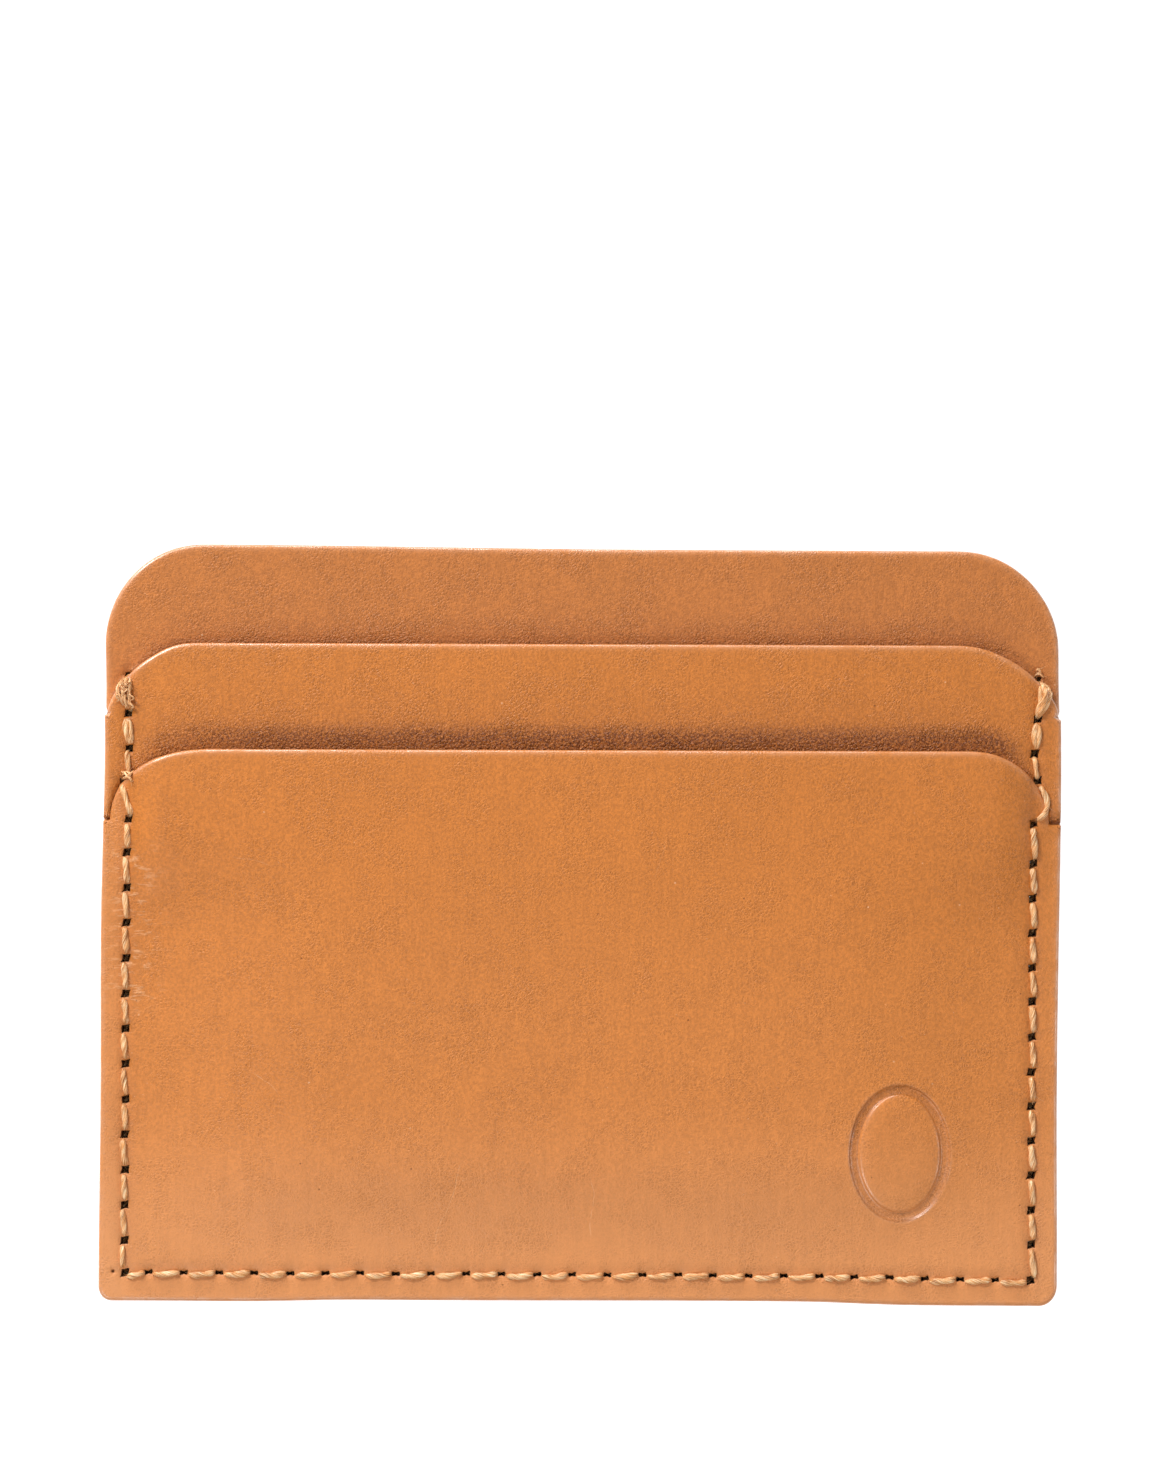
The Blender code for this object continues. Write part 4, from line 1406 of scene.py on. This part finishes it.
# %% Rear stitches
REAR_DEPTH = 1.3 * MM
THREAD_BED = rear_low.z + CHANNEL_DEPTH - 0.16 * MM
bobbin = Strands()


def channel_bed(points):
    return np.full(len(points), THREAD_BED)


for i in range(len(holes) - 1):
    sag = rng.uniform(-0.05, 0.08) * MM
    laid_stitch(
        bobbin, leaving[i], arriving[i + 1], sag, THREAD * rng.uniform(0.86, 0.95),
        channel_bed, REAR_DEPTH, twist=rng.uniform(1.1, 1.9), facing=-1.0,
    )
bobbin_piece = bobbin.finish("bobbin_thread_plies")

# %% [markdown]
# ## Finishes
#
# Vegetable-tanned calf, waxed and handled. Its grain is a net of fine wrinkles a third of a millimetre
# across, with sparse pores and dust. Its colour drifts gently. Rounded edges are pale, partly burnished by
# wax and partly a painted highlight. The strip above each lip is painted darker, partly as rub and partly
# as shade, with a painted shadow at the lip; the slots, the stamp's sunk line and the leather along the
# seam are painted darker as shade; and the base of the front pocket is painted lighter, as light falls
# there. It has fine creases beside its left seam and a few long light scratches.
#
# What belongs to a place on the panel comes from the values that the builder left on its points: edge,
# slot, the painted dark strip and shade, pull, the painted base light, crease, polish and handled. What
# belongs to the hide itself is a node group that gives a mask or a height: grain, dust, creases and
# scratches. The material joins them.

# %% Node helpers
class Nodes:
    """A node tree with short ways to add the nodes used here."""

    def __init__(self, tree):
        self.tree = tree

    def add(self, kind, **settings):
        node = self.tree.nodes.new(kind)
        for key, value in settings.items():
            setattr(node, key, value)
        return node

    def feed(self, node, socket, value):
        if isinstance(value, bpy.types.NodeSocket):
            self.tree.links.new(value, node.inputs[socket])
        else:
            node.inputs[socket].default_value = value

    def sum_of(self, operation, first, second=0.0, third=None, clamp=False):
        node = self.add("ShaderNodeMath", operation=operation, use_clamp=clamp)
        self.feed(node, 0, first)
        self.feed(node, 1, second)
        if third is not None:
            self.feed(node, 2, third)
        return node.outputs[0]

    def spread(self, value, low, high, to_low=0.0, to_high=1.0):
        node = self.add("ShaderNodeMapRange", interpolation_type="SMOOTHSTEP")
        for socket, item in zip(("Value", "From Min", "From Max", "To Min", "To Max"),
                                (value, low, high, to_low, to_high)):
            self.feed(node, socket, item)
        return node.outputs[0]

    def noise(self, place, scale, detail=2.0, rough=0.5):
        node = self.add("ShaderNodeTexNoise")
        self.feed(node, "Vector", place)
        self.feed(node, "Scale", scale)
        self.feed(node, "Detail", detail)
        self.feed(node, "Roughness", rough)
        return node.outputs["Fac"]

    def cells(self, place, scale, feature="F1", output="Distance"):
        node = self.add("ShaderNodeTexVoronoi", feature=feature)
        self.feed(node, "Vector", place)
        self.feed(node, "Scale", scale)
        return node.outputs[output]

    def vector(self, operation, first, second, output="Vector"):
        node = self.add("ShaderNodeVectorMath", operation=operation)
        self.feed(node, 0, first)
        self.feed(node, 1, second)
        return node.outputs[output]

    def stretched_noise(self, place, scale, detail=2.0, rough=0.5):
        """Noise drawn out along the axes whose scale is low."""
        return self.noise(self.vector("MULTIPLY", place, scale), 1.0, detail, rough)

    def specks(self, place, scale, channel, share, core, rim):
        """Small dots in some of the cells, chosen by one colour channel of each cell."""
        spot = self.cells(place, scale)
        chosen = self.add("ShaderNodeSeparateColor")
        self.feed(chosen, 0, self.cells(place, scale, output="Color"))
        speck = self.spread(spot, core, rim, 1.0, 0.0)
        return self.sum_of("MULTIPLY", speck, self.sum_of("GREATER_THAN", chosen.outputs[channel], share))

    def largest(self, values):
        total = values[0]
        for value in values[1:]:
            total = self.sum_of("MAXIMUM", total, value)
        return total

    def blend(self, factor, first, second, kind="MIX"):
        node = self.add("ShaderNodeMix", data_type="RGBA", blend_type=kind)
        self.feed(node, 0, factor)
        self.feed(node, 6, first)
        self.feed(node, 7, second)
        return node.outputs[2]

    def shaded(self, colour, amount):
        """A colour made lighter or darker by an amount near 1."""
        grey = self.add("ShaderNodeCombineColor")
        for channel in range(3):
            self.feed(grey, channel, amount)
        return self.blend(1.0, colour, grey.outputs[0], "MULTIPLY")

    def bump(self, height, distance, strength=1.0):
        node = self.add("ShaderNodeBump")
        self.feed(node, "Height", height)
        self.feed(node, "Distance", distance)
        self.feed(node, "Strength", strength)
        return node.outputs[0]

    def mark(self, name):
        return self.add("ShaderNodeAttribute", attribute_name=name).outputs["Fac"]

    def use(self, group, **inputs):
        node = self.add("ShaderNodeGroup", node_tree=group)
        for key, value in inputs.items():
            self.feed(node, key, value)
        return node.outputs


FLOAT, VECTOR = "NodeSocketFloat", "NodeSocketVector"


def new_group(name, inputs, outputs):
    """An empty node group with its sockets; inputs are (name, kind) and every output is a number."""
    tree = bpy.data.node_groups.new(name, "ShaderNodeTree")
    for label, kind in inputs:
        tree.interface.new_socket(label, in_out="INPUT", socket_type=kind)
    for label in outputs:
        tree.interface.new_socket(label, in_out="OUTPUT", socket_type=FLOAT)
    return tree, Nodes(tree), tree.nodes.new("NodeGroupInput").outputs, tree.nodes.new("NodeGroupOutput")


def new_material(name):
    """A material, the helper for its nodes, and its shader."""
    material = bpy.data.materials.new(name)
    material.use_nodes = True
    tree = material.node_tree
    return material, Nodes(tree), tree.nodes["Principled BSDF"]


def linear(red, green, blue):
    """A colour as the screen shows it, turned into the light it stands for."""
    values = [channel / 255 for channel in (red, green, blue)]
    return tuple(v / 12.92 if v < 0.04045 else ((v + 0.055) / 1.055) ** 2.4 for v in values) + (1.0,)


# %% Grain group
def make_grain():
    """Fine wrinkles, soft undulation and sparse pores; Place is in metres."""
    outputs = ["Height", "Pores", "Tone"]
    tree, make, given, out = new_group("leather_grain", [("Place", VECTOR)], outputs)
    place = given["Place"]
    net = make.cells(place, 2900.0, "DISTANCE_TO_EDGE")
    strength = make.spread(make.noise(place, 260.0, 2.0), 0.35, 0.70, 0.35, 1.0)
    wrinkles = make.sum_of("MULTIPLY", make.spread(net, 0.0, 0.28), strength)
    fine = make.noise(place, 7000.0, 2.0, 0.6)
    wander = make.noise(place, 900.0, 2.0)
    height = make.sum_of("MULTIPLY_ADD", fine, 0.5, wrinkles)
    height = make.sum_of("MULTIPLY_ADD", wander, 0.8, height)
    broad = make.noise(place, 95.0, 3.0, 0.5)
    near = make.noise(place, 620.0, 3.0, 0.6)
    make.feed(out, "Height", height)
    make.feed(out, "Pores", make.specks(place, 520.0, 0, 0.90, 0.030, 0.055))
    make.feed(out, "Tone", make.sum_of("MULTIPLY_ADD", near, 0.45, make.sum_of("MULTIPLY", broad, 0.55)))
    return tree


grain_group = make_grain()

# %% Dust group
DUST_LAYERS = [(900.0, 0.62), (430.0, 0.86)]


def make_dust():
    """Pale specks, few and tiny, in two sizes; each layer has a scale and the share of bare cells."""
    tree, make, given, out = new_group("dust", [("Place", VECTOR)], ["Dust"])
    layers = [make.specks(given["Place"], scale, 1, bare, 0.025, 0.06) for scale, bare in DUST_LAYERS]
    make.feed(out, "Dust", make.largest(layers))
    return tree


dust_group = make_dust()

# %% Crease group
def make_creases():
    """Fine creases that run sideways, where the thread has gathered the leather."""
    tree, make, given, out = new_group("creases", [("Place", VECTOR), ("Amount", FLOAT)], ["Height"])
    lines = make.stretched_noise(given["Place"], (260.0, 1700.0, 260.0), 3.0, 0.6)
    from_line = make.sum_of("ABSOLUTE", make.sum_of("SUBTRACT", lines, 0.5))
    ridge = make.spread(from_line, 0.0, 0.05, 1.0, 0.0)
    gaps = make.stretched_noise(given["Place"], (700.0, 1100.0, 700.0))
    ridge = make.sum_of("MULTIPLY", ridge, make.spread(gaps, 0.46, 0.60))
    make.feed(out, "Height", make.sum_of("MULTIPLY", ridge, given["Amount"]))
    return tree


crease_group = make_creases()

# %% Scratch group
SCRATCHES = [
    # start and end in millimetres from the middle, width in millimetres, strength
    ((-11.9, -24.4), (-15.2, -34.6), 0.055, 0.9),
    ((1.3, -25.6), (1.5, -33.4), 0.06, 0.8),
    ((43.9, 22.2), (46.8, 24.4), 0.06, 0.7),
    ((-31.0, -17.6), (-34.2, -15.4), 0.04, 0.8),
    ((-36.5, 6.8), (-31.5, 5.9), 0.035, 0.5),
    ((9.0, 9.6), (7.2, 4.1), 0.03, 0.4),
]
SCRATCH_WANDER = 2.2 * MM


def one_scratch(make, place, wander, start, end, width, strength):
    """A line that fades in at its start and out at its end."""
    start, end = np.array(start) * MM, np.array(end) * MM
    length = np.linalg.norm(end - start)
    forward = (end - start) / length
    offset = make.vector("SUBTRACT", place, (*start, 0.0))
    far = make.vector("DOT_PRODUCT", offset, (*forward, 0.0), "Value")
    side = make.vector("DOT_PRODUCT", offset, (-forward[1], forward[0], 0.0), "Value")
    away = make.sum_of("ABSOLUTE", make.sum_of("ADD", side, wander))
    line = make.spread(away, width * 0.3 * MM, width * 1.6 * MM, strength, 0.0)
    line = make.sum_of("MULTIPLY", line, make.spread(far, 0.0, 0.2 * length))
    return make.sum_of("MULTIPLY", line, make.spread(far, 0.75 * length, length, 1.0, 0.0))


def make_scratches():
    """A few long light scratches, each wandering off its straight line."""
    tree, make, given, out = new_group("scratches", [("Place", VECTOR)], ["Scratch"])
    place = given["Place"]
    wander = make.sum_of("SUBTRACT", make.noise(place, 190.0), 0.5)
    wander = make.sum_of("MULTIPLY", wander, SCRATCH_WANDER)
    lines = [one_scratch(make, place, wander, *scratch) for scratch in SCRATCHES]
    worn = make.spread(make.noise(place, 800.0, 2.0), 0.36, 0.58)
    make.feed(out, "Scratch", make.sum_of("MULTIPLY", make.largest(lines), worn))
    return tree


scratch_group = make_scratches()

# %% Leather colours
# Near black painted into the slots as shade.
SLOT_SHADE_COLOUR = linear(22, 9, 3)
# Lighter colour painted on the front pocket's base and margins as light.
BASE_LIGHT_COLOUR = linear(236, 166, 112)
DUST_COLOUR = linear(252, 214, 176)
CREASE_COLOUR = linear(250, 196, 146)
SCRATCH_COLOUR = linear(250, 196, 148)


def hide_shade(make, place, grain, nap):
    """How much lighter or darker the hide is at each point, apart from wear."""
    shade = make.spread(grain["Height"], 0.8, 1.7, 1.06, 0.95)
    streak = make.stretched_noise(place, (1500.0, 170.0, 170.0), 3.0, 0.6)
    shade = make.sum_of("MULTIPLY", shade, make.spread(streak, 0.3, 0.7, 0.97, 1.03))
    calm = make.sum_of("MULTIPLY_ADD", make.mark("painted_base_light"), -1.9, 1.0, clamp=True)
    nap_shade = make.sum_of("MULTIPLY", make.spread(nap, 0.33, 0.67, -0.13, 0.12), calm)
    return make.sum_of("MULTIPLY_ADD", shade, nap_shade, shade)


def wear_and_painted_light(make, place, colour, deep, pale):
    """Darker above the lips, partly rub and partly painted shade, with a painted shadow at each lip and
    painted shade in the stamp's line; pale at the edges, partly burnish and partly a painted highlight; and
    painted shade along the seam where the thread pulls.
    """
    patchy = make.spread(make.noise(place, 3600.0, 3.0, 0.7), 0.34, 0.66, 0.40, 1.25)
    # The dark strip above each lip, partly rub and partly painted shade and shadow.
    colour = make.blend(make.sum_of("MULTIPLY", make.mark("rub_and_shade"), patchy, clamp=True), colour, deep)
    worn = make.spread(make.noise(place, 900.0, 3.0, 0.65), 0.35, 0.65, 0.45, 0.95)
    # Pale rim: partly burnish, partly a painted highlight.
    rim = make.sum_of("POWER", make.mark("edge"), 1.3)
    colour = make.blend(make.sum_of("MULTIPLY", rim, worn), colour, pale)
    # Painted shade along the seam.
    return make.blend(make.sum_of("MULTIPLY", make.mark("pull"), 0.16), colour, deep)


# %% Leather material
def leather(name, body, deep, pale, rough):
    """Body is the clean colour; deep darkens pores, the lip strips and the painted shade; pale is the rim's
    burnish and painted highlight.
    """
    material, make, shader = new_material(name)
    place = make.add("ShaderNodeTexCoord").outputs["Object"]
    grain = make.use(grain_group, Place=place)
    dust = make.use(dust_group, Place=place)["Dust"]
    crease = make.use(crease_group, Place=place, Amount=make.mark("crease"))["Height"]
    scratch = make.use(scratch_group, Place=place)["Scratch"]
    scratch = make.sum_of("MULTIPLY", scratch, make.mark("handled"))
    nap = make.stretched_noise(place, (3300.0, 2700.0, 3000.0), 3.0, 0.65)

    # Painted light: the front pocket lighter at its base and along its margins.
    colour = make.blend(make.mark("painted_base_light"), body, BASE_LIGHT_COLOUR)
    colour = make.shaded(colour, make.spread(grain["Tone"], 0.32, 0.68, 0.965, 1.03))
    colour = make.shaded(colour, hide_shade(make, place, grain, nap))
    colour = wear_and_painted_light(make, place, colour, deep, pale)
    for mask, strength, tint in (
        (grain["Pores"], 0.7, deep),
        (dust, 0.34, DUST_COLOUR),
        (crease, 0.42, CREASE_COLOUR),
        (scratch, 0.34, SCRATCH_COLOUR),
    ):
        colour = make.blend(make.sum_of("MULTIPLY", mask, strength), colour, tint)
    # Slot walls and the pricked hole painted near black, as shade.
    make.feed(shader, "Base Color", make.blend(make.mark("slot"), colour, SLOT_SHADE_COLOUR))

    dull = make.spread(grain["Tone"], 0.3, 0.7, rough - 0.05, rough + 0.07)
    for name_of_mark, amount in (("edge", -0.16), ("rub_and_shade", 0.10), ("slot", 0.5)):
        dull = make.sum_of("MULTIPLY_ADD", make.mark(name_of_mark), amount, dull)
    make.feed(shader, "Roughness", dull)

    height = grain["Height"]
    for source, amount in ((crease, 0.8), (grain["Pores"], -1.2), (scratch, -0.8), (nap, 1.3)):
        height = make.sum_of("MULTIPLY_ADD", source, amount, height)
    coarser = make.sum_of("MULTIPLY_ADD", make.mark("rub_and_shade"), 3.2, 1.0)
    height = make.sum_of("MULTIPLY", height, coarser)
    make.feed(shader, "Normal", make.bump(height, 0.040 * MM, 0.8))

    shine = make.spread(make.noise(place, 420.0, 3.0, 0.6), 0.40, 0.62, 0.25, 0.85)
    polished = make.sum_of("POWER", make.mark("edge"), 3.0)
    polished = make.sum_of("MAXIMUM", polished, make.mark("polish"))
    make.feed(shader, "Coat Weight", make.sum_of("MULTIPLY", polished, shine, clamp=True))
    shader.inputs["Coat Roughness"].default_value = 0.30
    shader.inputs["Coat IOR"].default_value = 2.1
    shader.inputs["Specular IOR Level"].default_value = 0.45
    return material


BODY_COLOURS = (linear(189, 113, 50), linear(112, 55, 10), linear(213, 141, 88))
POCKET_COLOURS = (linear(198, 117, 43), linear(112, 55, 8), linear(216, 141, 84))
body_leather = leather("body_leather", *BODY_COLOURS, 0.50)
pocket_leather = leather("pocket_leather", *POCKET_COLOURS, 0.47)

# %% Thread material
def make_fibres():
    """Streaks that follow the twisted plies; Fibre holds the way round and the way along."""
    tree, make, given, out = new_group("fibres", [("Fibre", VECTOR)], ["Streak", "Wax"])
    make.feed(out, "Streak", make.stretched_noise(given["Fibre"], (4.2, 4.2, 0.55), 3.0, 0.6))
    make.feed(out, "Wax", make.stretched_noise(given["Fibre"], (0.8, 0.8, 1.1)))
    return tree


fibre_group = make_fibres()


def thread_material(dark, middle, bright):
    material, make, shader = new_material("waxed_thread")
    fibre = make.add("ShaderNodeAttribute", attribute_name="fibre").outputs["Vector"]
    found = make.use(fibre_group, Fibre=fibre)
    colour = make.blend(make.spread(found["Streak"], 0.34, 0.50), dark, middle)
    colour = make.blend(make.spread(found["Streak"], 0.50, 0.66), colour, bright)
    colour = make.blend(make.spread(found["Wax"], 0.45, 0.75, 0.0, 0.35), colour, bright)
    make.feed(shader, "Base Color", colour)
    make.feed(shader, "Roughness", make.spread(found["Wax"], 0.3, 0.7, 0.28, 0.50))
    make.feed(shader, "Normal", make.bump(found["Streak"], 0.02 * MM, 0.8))
    shader.inputs["Specular IOR Level"].default_value = 0.45
    return material


THREAD_COLOURS = (linear(136, 72, 26), linear(228, 160, 96), linear(255, 230, 186))
sewing_thread = thread_material(*THREAD_COLOURS)

# %% Seam tape material
def tape_material():
    """Thin woven tape, hidden between the layers."""
    material, make, shader = new_material("woven_tape")
    place = make.add("ShaderNodeTexCoord").outputs["Object"]
    weave = make.cells(place, 4000.0)
    make.feed(shader, "Base Color", make.blend(weave, linear(214, 190, 158), linear(170, 140, 104)))
    make.feed(shader, "Roughness", 0.85)
    make.feed(shader, "Normal", make.bump(weave, 0.02 * MM))
    return material


seam_tape = tape_material()
print(len(bpy.data.materials), "materials")

# %% [markdown]
# ## Everything in its place
#
# Each detailed piece takes the place of one plain node of the frame. The nodes that stay, which are the
# hidden seam tapes and the hidden base seam's threads, get their material directly.

# %% Place
PIECES = [
    (rear_skin, "rear_panel", "body_leather", body_leather),
    (centre_skin, "centre_panel", "body_leather", body_leather),
    (upper_skin, "upper_pocket", "pocket_leather", pocket_leather),
    (front_skin, "front_pocket", "pocket_leather", pocket_leather),
    (needle_piece, "needle_thread", "sewing_thread", sewing_thread),
    (bobbin_piece, "bobbin_thread", "sewing_thread", sewing_thread),
    (left_piece, "left_thread_end", "sewing_thread", sewing_thread),
    (right_piece, "right_thread_end", "sewing_thread", sewing_thread),
]
for piece, node, slot_name, material in PIECES:
    piece.data.materials.append(material)
    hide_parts(node)
    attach(piece, "root")
for name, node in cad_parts.items():
    node.data.materials.clear()
    node.data.materials.append(seam_tape if "tape" in name else sewing_thread)
